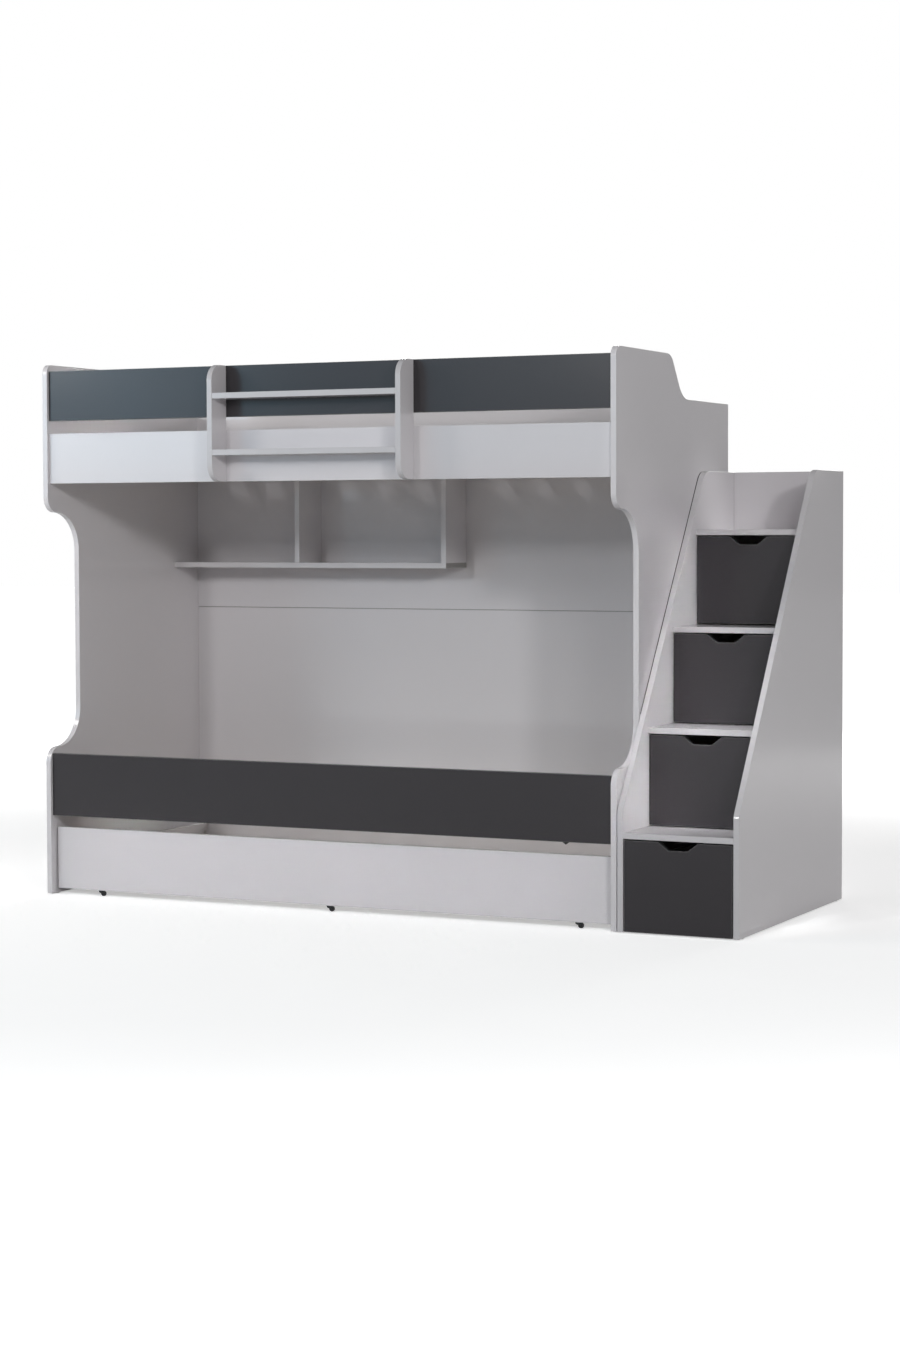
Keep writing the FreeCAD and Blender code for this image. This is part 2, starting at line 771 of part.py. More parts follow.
def fit_cams(pieces):
    """Cams that join the boards of the bed and of the staircase."""
    groups = {
        "lower_front_rail": rail_cams(rail_recess, lower_rail_bottom, lower_rail_top, 2),
        "upper_front_rail": rail_cams(rail_recess, upper_rail_bottom, upper_rail_top, 2),
        "upper_guard_board": rail_cams(rail_recess, guard_bottom, guard_top, 2),
        "back_panel_upper": rail_cams(back_face, back_seam, rear_top, 3),
        "back_panel_lower": rail_cams(back_face, back_bottom, back_seam, 3),
    }
    fitted = []
    for name, joints in groups.items():
        carve(pieces, (name, "left_end_panel", "right_end_panel"), joints)
        fitted.extend(joints)
    shelf_middle = wall_shelf_top - board / 2
    shelf = []
    for y in (wall_shelf_front + cam_edge_margin, back_face - cam_edge_margin):
        shelf.append(CamJoint(Vector(board, y, shelf_middle), AXIS_X, AXIS_Z.negative()))
    carve(pieces, ("wall_shelf_board", "left_end_panel"), shelf)
    fitted.extend(shelf)
    for number in range(1, step_count + 1):
        joints = tread_cams(number)
        name = "stair_tread_%d" % number
        carve(pieces, (name, "stair_left_stringer", "stair_right_stringer"), joints)
        fitted.extend(joints)
    back = []
    for z in spread(3, glide_height + cam_edge_margin, stair_top - cam_edge_margin):
        middle = stair_depth - board / 2
        back.append(CamJoint(Vector(stair_inner_left, middle, z), AXIS_X, AXIS_Y))
        back.append(CamJoint(Vector(stair_inner_right, middle, z), AXIS_X.negative(), AXIS_Y))
    carve(pieces, ("stair_back_panel", "stair_left_stringer", "stair_right_stringer"), back)
    pieces["cam_fittings"] = collect(fitted + back)


def fit_bases(pieces):
    """Screws in the ledgers of both bunks and in the bracket under the lower one."""
    low = board + ledger_screw_inset
    high = right_panel_inner - ledger_screw_inset
    screws = []
    for bottom in (lower_ledger_bottom, upper_ledger_bottom):
        screws.extend(ledger_screws(low, high, rail_inner, back_face, bottom + ledger_height / 2))
    boards = ("lower_front_rail", "upper_front_rail", "back_panel_lower", "back_panel_upper")
    carve(pieces, ("bed_ledgers",) + boards, screws)
    middle = right_panel_inner - bracket_from_right
    surface = rail_inner + bracket_plate
    height = (lower_rail_bottom + lower_ledger_bottom) / 2
    pair = []
    for z in (height - bracket_screw_spacing / 2, height + bracket_screw_spacing / 2):
        pair.append(WoodScrew(Vector(middle, surface, z), AXIS_Y.negative(), bracket_screw_length))
    carve(pieces, ("ledger_bracket", "lower_front_rail"), pair)
    return screws + pair


def fit_rack(pieces):
    """Screws through the upper rail and guard board into the sides of the rack."""
    heights = (upper_rail_top - cam_edge_margin, guard_bottom + cam_edge_margin, guard_top - cam_edge_margin)
    screws = []
    for x in (rack_left + board / 2, rack_right - board / 2):
        for z in heights:
            screws.append(WoodScrew(Vector(x, rail_inner, z), AXIS_Y.negative()))
    boards = ("upper_front_rail", "upper_guard_board", "rack_left_side", "rack_right_side")
    carve(pieces, boards, screws)
    return screws


def fit_wall_shelf(pieces):
    """Screws through the back panel into the wall shelf, its divider and its end."""
    shelf_right = board + wall_shelf_length
    screws = []
    for x in (board + wall_shelf_bay + board / 2, shelf_right - board / 2):
        for z in (wall_shelf_top + edge_screw_inset, upper_ledger_bottom - edge_screw_inset):
            screws.append(WoodScrew(Vector(x, bed_depth, z), AXIS_Y.negative()))
    for x in (board + wall_shelf_bay / 2, board + wall_shelf_bay * 3 / 2):
        screws.append(WoodScrew(Vector(x, bed_depth, wall_shelf_top - board / 2), AXIS_Y.negative()))
    carve(pieces, ("back_panel_upper", "wall_shelf_board", "wall_shelf_divider", "wall_shelf_end"), screws)
    return screws


def join_stairs(pieces):
    """Bolts between the right end panel and the left stair side."""
    rear = bed_depth - joining_rear_inset
    low = step_rise * 2 - joining_drop
    high = step_rise * step_count - joining_drop
    places = ((joining_front_inset, low), (rear, low), (rear, high))
    bolts = [JoiningBolt(y, z) for y, z in places]
    carve(pieces, ("right_end_panel", "stair_left_stringer"), bolts)
    pieces["stair_joining_bolts"] = collect(bolts)


def main():
    """Build every piece and write it to its own file."""
    pieces = {}
    build_bed(pieces)
    build_stairs(pieces)
    build_trundle(pieces)
    fit_cams(pieces)
    fit_trundle(pieces)
    pieces["wood_screws"] = collect(fit_bases(pieces) + fit_rack(pieces) + fit_wall_shelf(pieces))
    join_stairs(pieces)
    os.makedirs("parts", exist_ok=True)
    for name, solids in pieces.items():
        shape = Part.makeCompound(solids)
        shape.translate(overall_centre.negative())
        shape.exportStep("parts/%s.step" % name)


main()
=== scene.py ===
"""Looks of a panel-built bunk bed with a roll-out trundle and a staircase of drawers.

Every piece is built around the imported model, in its frame and in metres. Boards are lofted with rounded
edges and an edge band, slats and fittings are set out by Geometry Nodes, and every finish is procedural.
"""
import logging
import math
from dataclasses import dataclass, field, replace
from enum import Enum
from typing import Any, Dict, List, Optional, Sequence, Tuple

import bmesh
import bpy
from mathutils import Matrix, Vector
from mathutils.geometry import tessellate_polygon


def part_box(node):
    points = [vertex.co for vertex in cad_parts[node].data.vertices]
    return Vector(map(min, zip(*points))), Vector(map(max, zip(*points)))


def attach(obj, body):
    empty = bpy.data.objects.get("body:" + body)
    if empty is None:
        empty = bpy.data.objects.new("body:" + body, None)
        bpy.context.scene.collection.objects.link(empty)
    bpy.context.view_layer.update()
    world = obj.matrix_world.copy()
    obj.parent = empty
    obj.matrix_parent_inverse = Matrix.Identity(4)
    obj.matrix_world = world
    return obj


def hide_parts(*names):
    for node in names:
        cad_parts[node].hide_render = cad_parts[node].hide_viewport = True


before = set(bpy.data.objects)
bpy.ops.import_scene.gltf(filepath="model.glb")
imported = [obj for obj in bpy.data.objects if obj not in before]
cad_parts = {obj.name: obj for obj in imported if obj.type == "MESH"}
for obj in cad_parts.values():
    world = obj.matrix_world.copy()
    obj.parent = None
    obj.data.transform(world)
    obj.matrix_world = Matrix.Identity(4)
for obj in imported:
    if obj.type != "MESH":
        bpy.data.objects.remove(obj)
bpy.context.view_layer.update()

LOG = logging.getLogger("bunk_bed")

MM = 0.001
BOARD = 18 * MM
QUARTER = math.pi / 2
SMOOTH_ANGLE = math.radians(40)
SAME_POINT = 1e-6

RIGHT, LEFT = Vector((1, 0, 0)), Vector((-1, 0, 0))
REAR, FRONT = Vector((0, 1, 0)), Vector((0, -1, 0))
UP, DOWN = Vector((0, 0, 1)), Vector((0, 0, -1))

Colour = Tuple[float, float, float]
Place = Tuple[float, float, float]
LoopPoint = Tuple[float, float, float, float]
WHITE_LIGHT: Colour = (1.0, 1.0, 1.0)


class Axis(Enum):
    """The direction of a board's thickness, followed by the two directions of its outline."""

    X = (0, 1, 2)
    Y = (1, 0, 2)
    Z = (2, 0, 1)

    @property
    def mirrored(self) -> bool:
        """Whether the outline's two directions and the thickness form a left-handed set."""
        return self is Axis.Y


class Side(Enum):
    """The face of a board that a seat is sunk into."""

    LOW = 0
    HIGH = 1


class Layer(Enum):
    """The material slots of a board."""

    FACE = 0
    BAND = 1
    GLUE = 2
    CORE = 3


# --- Node kit ---------------------------------------------------------------------------------


def pick(sockets: Any, name: str) -> bpy.types.NodeSocket:
    """The first open socket of a name."""
    return next(one for one in sockets if one.enabled and one.name == name)


class NodeKit:
    """A node tree, with one method that makes any node."""

    def __init__(self, tree: bpy.types.NodeTree) -> None:
        """Keep the tree."""
        self.tree = tree

    def plug(self, socket: bpy.types.NodeSocket, value: Any) -> None:
        """Link a wire or an output to a socket, or set the socket's value.

        Args:
            socket: The input to fill.
            value: A wire, an output or a plain value.
        """
        source = value.socket if isinstance(value, Wire) else value
        if isinstance(source, bpy.types.NodeSocket):
            self.tree.links.new(source, socket)
        else:
            socket.default_value = source

    def node(self, kind: str, settings: Optional[Dict[str, Any]] = None, **inputs: Any) -> bpy.types.Node:
        """Make a node, set it up and fill its sockets.

        Args:
            kind: The node's type.
            settings: Properties that are set first.
            inputs: Values, wires or outputs by socket name, with _ for a space.

        Returns:
            The node.
        """
        made = self.tree.nodes.new(kind)
        for name, value in (settings or {}).items():
            setattr(made, name, value)
        for name, value in inputs.items():
            self.plug(pick(made.inputs, name.replace("_", " ")), value)
        return made


class Wire:
    """A shader socket that can be used in sums."""

    def __init__(self, tree: "ShaderTree", socket: bpy.types.NodeSocket) -> None:
        """Keep the tree and the socket."""
        self.tree = tree
        self.socket = socket

    def __add__(self, other: Any) -> "Wire":
        """Sum."""
        return self.tree.math("ADD", self, other)

    def __radd__(self, other: Any) -> "Wire":
        """Sum with a number on the left."""
        return self.tree.math("ADD", other, self)

    def __sub__(self, other: Any) -> "Wire":
        """Difference."""
        return self.tree.math("SUBTRACT", self, other)

    def __mul__(self, other: Any) -> "Wire":
        """Product."""
        return self.tree.math("MULTIPLY", self, other)

    def __pow__(self, other: Any) -> "Wire":
        """Power."""
        return self.tree.math("POWER", self, other)

    def clamp(self) -> "Wire":
        """The value held between 0 and 1."""
        return self.tree.math("MULTIPLY", self, 1.0, use_clamp=True)


class ShaderTree(NodeKit):
    """The node tree of a material or a world."""

    NOISE_ROUGHNESS = 0.55

    def __init__(self, owner: Any) -> None:
        """Start an empty tree.

        Args:
            owner: The material or world that holds the tree.
        """
        owner.use_nodes = True
        super().__init__(owner.node_tree)
        self.tree.nodes.clear()

    def out(self, made: bpy.types.Node, name: str) -> Wire:
        """A node's output by name."""
        return Wire(self, pick(made.outputs, name))

    def join(self, kind: str, values: Sequence[Any], **settings: Any) -> bpy.types.Node:
        """Make a node and fill its sockets in their order.

        Args:
            kind: The node's type.
            values: Numbers or wires.
            settings: The node's properties.

        Returns:
            The node.
        """
        made = self.node(kind, settings)
        for socket, value in zip(made.inputs, values):
            self.plug(socket, value)
        return made

    def math(self, operation: str, *values: Any, use_clamp: bool = False) -> Wire:
        """A sum on numbers or wires, held between 0 and 1 if use_clamp says so."""
        made = self.join("ShaderNodeMath", values, operation=operation, use_clamp=use_clamp)
        return self.out(made, "Value")

    def place(self, scale: Sequence[float] = (1.0, 1.0, 1.0)) -> Wire:
        """Object coordinates, stretched along each axis."""
        where = self.out(self.node("ShaderNodeTexCoord"), "Object")
        return self.out(self.node("ShaderNodeMapping", Vector=where, Scale=scale), "Vector")

    def noise(self, at: Wire, scale: float, detail: float = 3.0, distortion: float = 0.0) -> Wire:
        """Smooth noise between 0 and 1.

        Args:
            at: Coordinates.
            scale: Features per unit.
            detail: Octaves.
            distortion: How far it swirls.

        Returns:
            The noise.
        """
        inputs = {"Scale": scale, "Detail": detail, "Roughness": self.NOISE_ROUGHNESS, "Distortion": distortion}
        return self.out(self.node("ShaderNodeTexNoise", Vector=at, **inputs), "Fac")

    def ramp(self, value: Wire, low: float, high: float) -> Wire:
        """A smooth step from 0 at low to 1 at high.

        Args:
            value: What is stepped.
            low: Value that gives 0.
            high: Value that gives 1.

        Returns:
            The step.
        """
        settings = {"interpolation_type": "SMOOTHSTEP"}
        made = self.node("ShaderNodeMapRange", settings, Value=value, From_Min=low, From_Max=high)
        return self.out(made, "Result")

    def blend(self, amount: Wire, first: Any, second: Any) -> Wire:
        """A mix of two colours.

        Args:
            amount: Share of the second colour.
            first: Colour or wire.
            second: Colour or wire.

        Returns:
            The mixed colour.
        """
        ends = {name: one if isinstance(one, Wire) else opaque(one) for name, one in (("A", first), ("B", second))}
        made = self.node("ShaderNodeMix", {"data_type": "RGBA"}, Factor=amount, **ends)
        return self.out(made, "Result")

    def bump(self, height: Wire, strength: float, distance: float) -> Wire:
        """A normal bumped by a share of a height map, whose distance is in metres."""
        return self.out(self.node("ShaderNodeBump", Height=height, Strength=strength, Distance=distance), "Normal")

    def seen(self, glossy: float = 0.0) -> Wire:
        """1 where the camera looks, straight or through glass.

        Args:
            glossy: Share that a mirrored look counts for.

        Returns:
            The share.
        """
        path = self.node("ShaderNodeLightPath")
        share = self.out(path, "Is Camera Ray") + self.out(path, "Is Transmission Ray")
        return (share + self.out(path, "Is Glossy Ray") * glossy).clamp()

    def finish(self, **inputs: Any) -> None:
        """End the tree in a Principled shader, given its sockets by name with _ for a space."""
        shader = self.node("ShaderNodeBsdfPrincipled", **inputs)
        self.node("ShaderNodeOutputMaterial", Surface=self.out(shader, "BSDF"))


def opaque(colour: Colour) -> Tuple[float, float, float, float]:
    """A colour with full alpha."""
    return (*colour, 1.0)


# --- Finishes ---------------------------------------------------------------------------------


@dataclass(frozen=True)
class Finish:
    """A procedural finish."""

    name: str

    def make(self) -> bpy.types.Material:
        """Build the material.

        Returns:
            The material.
        """
        material = bpy.data.materials.new(self.name)
        self.paint(ShaderTree(material))
        return material

    def paint(self, tree: ShaderTree) -> None:
        """Fill the material's tree."""
        raise NotImplementedError


@dataclass(frozen=True)
class MelamineFinish(Finish):
    """The pressed face of a melamine board: a fine pearl texture under a satin sheen."""

    colour: Colour
    shade: Colour
    roughness: float
    gloss: float
    cloud_scale: float = 2.3
    wipe_scale: float = 5.0
    speck_scale: float = 420.0
    pearl_scale: float = 1100.0
    wave_scale: float = 7.0
    relief: float = 0.12
    relief_height: float = 0.02 * MM

    def paint(self, tree: ShaderTree) -> None:
        """Fill the material's tree.

        Args:
            tree: The empty tree.
        """
        at = tree.place()
        cloud = tree.noise(at, self.cloud_scale, 4.0)
        wiped = tree.noise(at, self.wipe_scale, 3.0, 0.3)
        pearl = tree.noise(at, self.pearl_scale, 2.0)
        wave = tree.noise(at, self.wave_scale, 2.0)
        speck = tree.ramp(tree.noise(at, self.speck_scale, 2.0), 0.35, 0.75)
        tone = tree.blend(cloud * 0.5 + speck * 0.3, self.colour, self.shade)
        rough = self.roughness + (wiped - 0.5) * 0.04 + (pearl - 0.5) * 0.03
        normal = tree.bump(pearl + wave * 2.0, self.relief, self.relief_height)
        tree.finish(Base_Color=tone, Roughness=rough, Normal=normal, Specular_IOR_Level=self.gloss)


@dataclass(frozen=True)
class BandFinish(Finish):
    """The plastic band on a board's edge, a little smoother than the face."""

    colour: Colour
    shade: Colour
    roughness: float
    gloss: float
    chatter_scale: float = 160.0
    rub_scale: float = 9.0
    grain_scale: float = 1600.0
    relief: float = 0.2
    relief_height: float = 0.02 * MM

    def paint(self, tree: ShaderTree) -> None:
        """Fill the material's tree.

        Args:
            tree: The empty tree.
        """
        at = tree.place()
        chatter = tree.noise(at, self.chatter_scale, 2.0)
        rubbed = tree.noise(at, self.rub_scale, 5.0)
        grain = tree.noise(at, self.grain_scale, 2.0)
        tone = tree.blend(tree.ramp(rubbed, 0.45, 0.85) * 0.6 + grain * 0.2, self.colour, self.shade)
        rough = self.roughness + (rubbed - 0.5) * 0.10
        normal = tree.bump(chatter * 1.5 + grain * 0.5, self.relief, self.relief_height)
        tree.finish(Base_Color=tone, Roughness=rough, Normal=normal, Specular_IOR_Level=self.gloss)


@dataclass(frozen=True)
class ChipboardFinish(Finish):
    """Pressed chips, as they show inside a drilled seat and on the line of glue beside a band."""

    light: Colour
    dark: Colour
    chip_stretch: float = 2.2
    chip_scale: float = 420.0
    fibre_stretch: float = 3.0
    fibre_scale: float = 900.0
    relief: float = 0.6
    relief_height: float = 0.3 * MM

    def paint(self, tree: ShaderTree) -> None:
        """Fill the material's tree.

        Args:
            tree: The empty tree.
        """
        at = tree.place((1.0, 1.0, self.chip_stretch))
        cell = tree.out(tree.node("ShaderNodeTexVoronoi", Vector=at, Scale=self.chip_scale), "Distance")
        fibre = tree.noise(tree.place((1.0, 1.0, self.fibre_stretch)), self.fibre_scale, 4.0)
        tone = tree.blend((cell * 0.7 + fibre * 0.5).clamp(), self.light, self.dark)
        normal = tree.bump(cell + fibre, self.relief, self.relief_height)
        tree.finish(Base_Color=tone, Roughness=0.75 + fibre * 0.2, Normal=normal)


@dataclass(frozen=True)
class PineFinish(Finish):
    """Planed pine: growth rings stretched along the grain, fine fibres and a few knots."""

    along: Axis
    pale: Colour = (0.80, 0.76, 0.69)
    late: Colour = (0.68, 0.60, 0.49)
    knot: Colour = (0.30, 0.20, 0.12)
    piece_shift: Place = (3.0, 5.0, 7.0)
    ring_scale: float = 1.4
    ring_count: float = 95.0
    knot_scale: float = 1.5
    relief: float = 0.35
    relief_height: float = 0.12 * MM

    def stretch(self, across: float, length: float) -> Place:
        """Scale of a pattern that is drawn out along the grain.

        Args:
            across: Scale across the grain.
            length: Scale along the grain.

        Returns:
            The scale along X, Y and Z.
        """
        scale = [across, across, across]
        scale[self.along.value[0]] = length
        return scale[0], scale[1], scale[2]

    def paint(self, tree: ShaderTree) -> None:
        """Fill the material's tree.

        Args:
            tree: The empty tree.
        """
        piece = tree.out(tree.node("ShaderNodeAttribute", {"attribute_name": "tone"}), "Fac")
        shift = tree.join("ShaderNodeCombineXYZ", [piece * step for step in self.piece_shift])
        ends = (tree.place(self.stretch(9.0, 0.7)), tree.out(shift, "Vector"))
        at = tree.out(tree.join("ShaderNodeVectorMath", ends, operation="ADD"), "Vector")
        rings = tree.math("SINE", tree.noise(at, self.ring_scale, 2.0, 0.4) * self.ring_count) * 0.5 + 0.5
        fibre = tree.noise(tree.place(self.stretch(700.0, 9.0)), 1.0, 3.0)
        middle = tree.out(tree.node("ShaderNodeTexVoronoi", Vector=at, Scale=self.knot_scale), "Distance")
        eye, halo = tree.ramp(middle, 0.13, 0.05), tree.ramp(middle, 0.30, 0.10)
        tone = tree.blend(rings ** 2.0 * 0.55 + fibre * 0.25, self.pale, self.late)
        for share, colour in ((halo * 0.35, self.late), (eye * 0.85, self.knot), (piece * 0.22, self.late)):
            tone = tree.blend(share, tone, colour)
        normal = tree.bump(fibre + rings * 0.35, self.relief, self.relief_height)
        tree.finish(Base_Color=tone, Roughness=0.5 + fibre * 0.25 - eye * 0.15, Normal=normal)


@dataclass(frozen=True)
class PlatedFinish(Finish):
    """Zinc-plated steel and die-cast zinc: bright and finely mottled."""

    colour: Colour
    shade: Colour
    roughness: float = 0.34
    mottle_scale: float = 650.0
    cloud_scale: float = 120.0
    relief: float = 0.25
    relief_height: float = 0.05 * MM

    def paint(self, tree: ShaderTree) -> None:
        """Fill the material's tree.

        Args:
            tree: The empty tree.
        """
        at = tree.place()
        mottle = tree.noise(at, self.mottle_scale, 4.0)
        cloud = tree.noise(at, self.cloud_scale, 3.0)
        tone = tree.blend(tree.ramp(mottle, 0.3, 0.75), self.colour, self.shade)
        rough = self.roughness + mottle * 0.2
        normal = tree.bump(mottle + cloud, self.relief, self.relief_height)
        tree.finish(Base_Color=tone, Metallic=0.92 + cloud * 0.08, Roughness=rough, Normal=normal)


@dataclass(frozen=True)
class CoatFinish(Finish):
    """Powder coat or moulded plastic: one colour with a fine grain and scuffs that dull it."""

    colour: Colour
    scuff: Colour
    roughness: float
    peel_scale: float
    peel_height: float
    scuff_share: float = 0.25
    scuff_scale: float = 75.0
    relief: float = 0.4

    def paint(self, tree: ShaderTree) -> None:
        """Fill the material's tree.

        Args:
            tree: The empty tree.
        """
        at = tree.place()
        peel = tree.noise(at, self.peel_scale, 2.0)
        scuffs = tree.ramp(tree.noise(at, self.scuff_scale, 6.0, 0.8), 0.52, 0.78)
        tone = tree.blend(scuffs * self.scuff_share, self.colour, self.scuff)
        rough = self.roughness + scuffs * 0.15 + (peel - 0.5) * 0.08
        normal = tree.bump(peel, self.relief, self.peel_height)
        tree.finish(Base_Color=tone, Roughness=rough, Normal=normal)


@dataclass(frozen=True)
class FloorFinish(Finish):
    """The pale floor: it reads as white where it is lit and keeps the shadow of the object."""

    name: str = "pale_floor"
    colour: Colour = (0.85, 0.85, 0.85)
    roughness: float = 0.5
    glow: float = 0.42
    speckle: float = 0.02
    speck_scale: float = 3.0
    mirrored: float = 0.35
    near: float = 2.2
    far: float = 6.0

    def paint(self, tree: ShaderTree) -> None:
        """Fill the material's tree.

        Args:
            tree: The empty tree.
        """
        seen = tree.seen(self.mirrored)
        speck = tree.noise(tree.place(), self.speck_scale, 3.0)
        reach = tree.node("ShaderNodeVectorMath", {"operation": "LENGTH"}, Vector=tree.place((1.0, 1.0, 0.0)))
        away = tree.ramp(tree.out(reach, "Value"), self.near, self.far)
        strength = seen * (self.glow + speck * self.speckle + away * (1.0 - self.glow))
        matt = tree.node("ShaderNodeBsdfDiffuse", Color=opaque(self.colour), Roughness=self.roughness)
        light = tree.node("ShaderNodeEmission", Color=opaque(WHITE_LIGHT), Strength=strength)
        both = tree.join("ShaderNodeAddShader", (tree.out(matt, "BSDF"), tree.out(light, "Emission")))
        tree.node("ShaderNodeOutputMaterial", Surface=tree.out(both, "Shader"))


@dataclass(frozen=True)
class Dressing:
    """The record's slot of a finish and the materials that show it."""

    slot: str
    materials: Tuple[bpy.types.Material, ...]


class FinishSet:
    """All finishes of the bed, each built once."""

    def __init__(self) -> None:
        """Build every material."""
        glue = ChipboardFinish("glue_line", (0.50, 0.49, 0.47), (0.36, 0.35, 0.33)).make()
        core = ChipboardFinish("chipboard_core", (0.60, 0.46, 0.30), (0.33, 0.23, 0.13)).make()
        bare = ChipboardFinish("bare_chipboard", (0.46, 0.45, 0.44), (0.27, 0.26, 0.25)).make()
        white = MelamineFinish("white_melamine", (0.752, 0.728, 0.750), (0.722, 0.699, 0.720), 0.09, 0.5).make()
        dark = MelamineFinish("anthracite_melamine", (0.043, 0.039, 0.0435), (0.037, 0.0335, 0.037), 0.21, 0.45).make()
        white_band = BandFinish("white_edge_band", (0.746, 0.724, 0.744), (0.705, 0.685, 0.703), 0.14, 0.5).make()
        dark_band = BandFinish("anthracite_edge_band", (0.040, 0.040, 0.043), (0.055, 0.055, 0.057), 0.32, 0.45).make()
        grey_band = BandFinish("grey_edge_band", (0.645, 0.627, 0.644), (0.595, 0.578, 0.594), 0.14, 0.5).make()
        self.bare = Dressing("white_board", (bare,) * len(Layer))
        self.white = Dressing("white_board", (white, white_band, glue, core))
        self.grey_edged = Dressing("white_board", (white, grey_band, glue, core))
        self.dark = Dressing("dark_board", (dark, dark_band, glue, core))
        self.pine_along = self.single("pine", PineFinish("pine_lengthwise", Axis.X))
        self.pine_across = self.single("pine", PineFinish("pine_crosswise", Axis.Y))
        self.zinc = self.single("zinc", PlatedFinish("zinc_plate", (0.66, 0.66, 0.65), (0.50, 0.50, 0.49)))
        coats = (
            ("runner_steel", "white_powder_coat", (0.78, 0.78, 0.78), (0.52, 0.52, 0.52), 0.36, 900.0, 0.06 * MM),
            ("black_metal", "black_powder_coat", (0.018, 0.018, 0.019), (0.05, 0.05, 0.05), 0.4, 1100.0, 0.08 * MM),
            ("caster_black", "black_nylon", (0.016, 0.016, 0.017), (0.05, 0.05, 0.052), 0.42, 1500.0, 0.05 * MM),
            ("wheel_black", "wheel_tread", (0.022, 0.022, 0.023), (0.12, 0.12, 0.118), 0.5, 1300.0, 0.06 * MM, 0.5),
            ("glide", "glide_plastic", (0.74, 0.74, 0.73), (0.55, 0.54, 0.52), 0.45, 1200.0, 0.05 * MM),
        )
        made = [self.single(slot, CoatFinish(*coat)) for slot, *coat in coats]
        self.runner, self.black_metal, self.nylon, self.tread, self.glide = made
        self.floor = FloorFinish().make()

    @staticmethod
    def single(slot: str, finish: Finish) -> Dressing:
        """A dressing of one material."""
        return Dressing(slot, (finish.make(),))


# --- Mesh kit ---------------------------------------------------------------------------------


@dataclass(frozen=True)
class Corner:
    """A corner of an outline, rounded by its radius."""

    a: float
    b: float
    radius: float = 0.0


def rounded_loop(
    corners: Sequence[Corner],
    least: float = 2.0 * MM,
    chord: float = 3.5 * MM,
    steps_between: Tuple[int, int] = (3, 48),
) -> List[LoopPoint]:
    """Points and outward normals round an outline, counter-clockwise.

    Args:
        corners: The outline's corners.
        least: Radius of a corner that has none of its own.
        chord: Longest step along an arc.
        steps_between: Fewest and most steps of an arc.

    Returns:
        A list of (a, b, normal a, normal b).
    """
    ends = list(corners)
    turning = sum(p.a * q.b - q.a * p.b for p, q in zip(ends, ends[1:] + ends[:1]))
    if turning < 0:
        ends.reverse()
    places = [Vector((end.a, end.b)) for end in ends]
    loop: List[LoopPoint] = []
    for index, here in enumerate(places):
        way_in = (here - places[index - 1]).normalized()
        way_out = (places[(index + 1) % len(ends)] - here).normalized()
        bend = math.atan2(way_in.x * way_out.y - way_in.y * way_out.x, way_in.dot(way_out))
        radius = max(ends[index].radius, least)
        hand = math.copysign(1.0, bend)
        start = here - way_in * radius * math.tan(abs(bend) / 2)
        normal = Vector((way_in.y, -way_in.x))
        centre = start - normal * radius * hand
        fewest, most = steps_between
        steps = min(most, max(fewest, math.ceil(radius * abs(bend) / chord)))
        for step in range(steps + 1):
            out = Matrix.Rotation(bend * step / steps, 2) @ normal
            spot = centre + out * radius * hand
            if not loop or math.hypot(spot.x - loop[-1][0], spot.y - loop[-1][1]) >= SAME_POINT:
                loop.append((spot.x, spot.y, out.x, out.y))
    return loop


def circle_loop(radius: float, steps: int, a: float = 0.0, b: float = 0.0) -> List[LoopPoint]:
    """Points and outward normals round a circle about (a, b)."""
    turns = [math.tau * step / steps for step in range(steps)]
    return [(a + radius * math.cos(t), b + radius * math.sin(t), math.cos(t), math.sin(t)) for t in turns]


def cross_loop(reach: float, width: float, least: float = 0.12 * MM) -> List[LoopPoint]:
    """The outline of a cross recess.

    Args:
        reach: Length of an arm from the middle.
        width: Width of an arm.
        least: Radius of its corners.

    Returns:
        A list of (a, b, normal a, normal b).
    """
    half = width / 2
    corners: List[Corner] = []
    for quarter in range(4):
        turn = Matrix.Rotation(quarter * QUARTER, 2)
        corners += [Corner(*(turn @ Vector(spot))) for spot in ((half, -half), (reach, -half), (reach, half))]
    return rounded_loop(corners, least)


@dataclass(frozen=True)
class Recess:
    """A seat sunk into a face: its outline, its depth and the face it is in."""

    loop: Sequence[LoopPoint]
    depth: float
    side: Side = Side.HIGH
    layer: Layer = Layer.CORE
    lip: float = 0.15 * MM


@dataclass(frozen=True)
class Station:
    """One ring of a lofted solid: how far it is drawn in, its height, the lean of its normal and its layer."""

    inset: float
    height: float
    lean: float
    layer: Layer = Layer.BAND


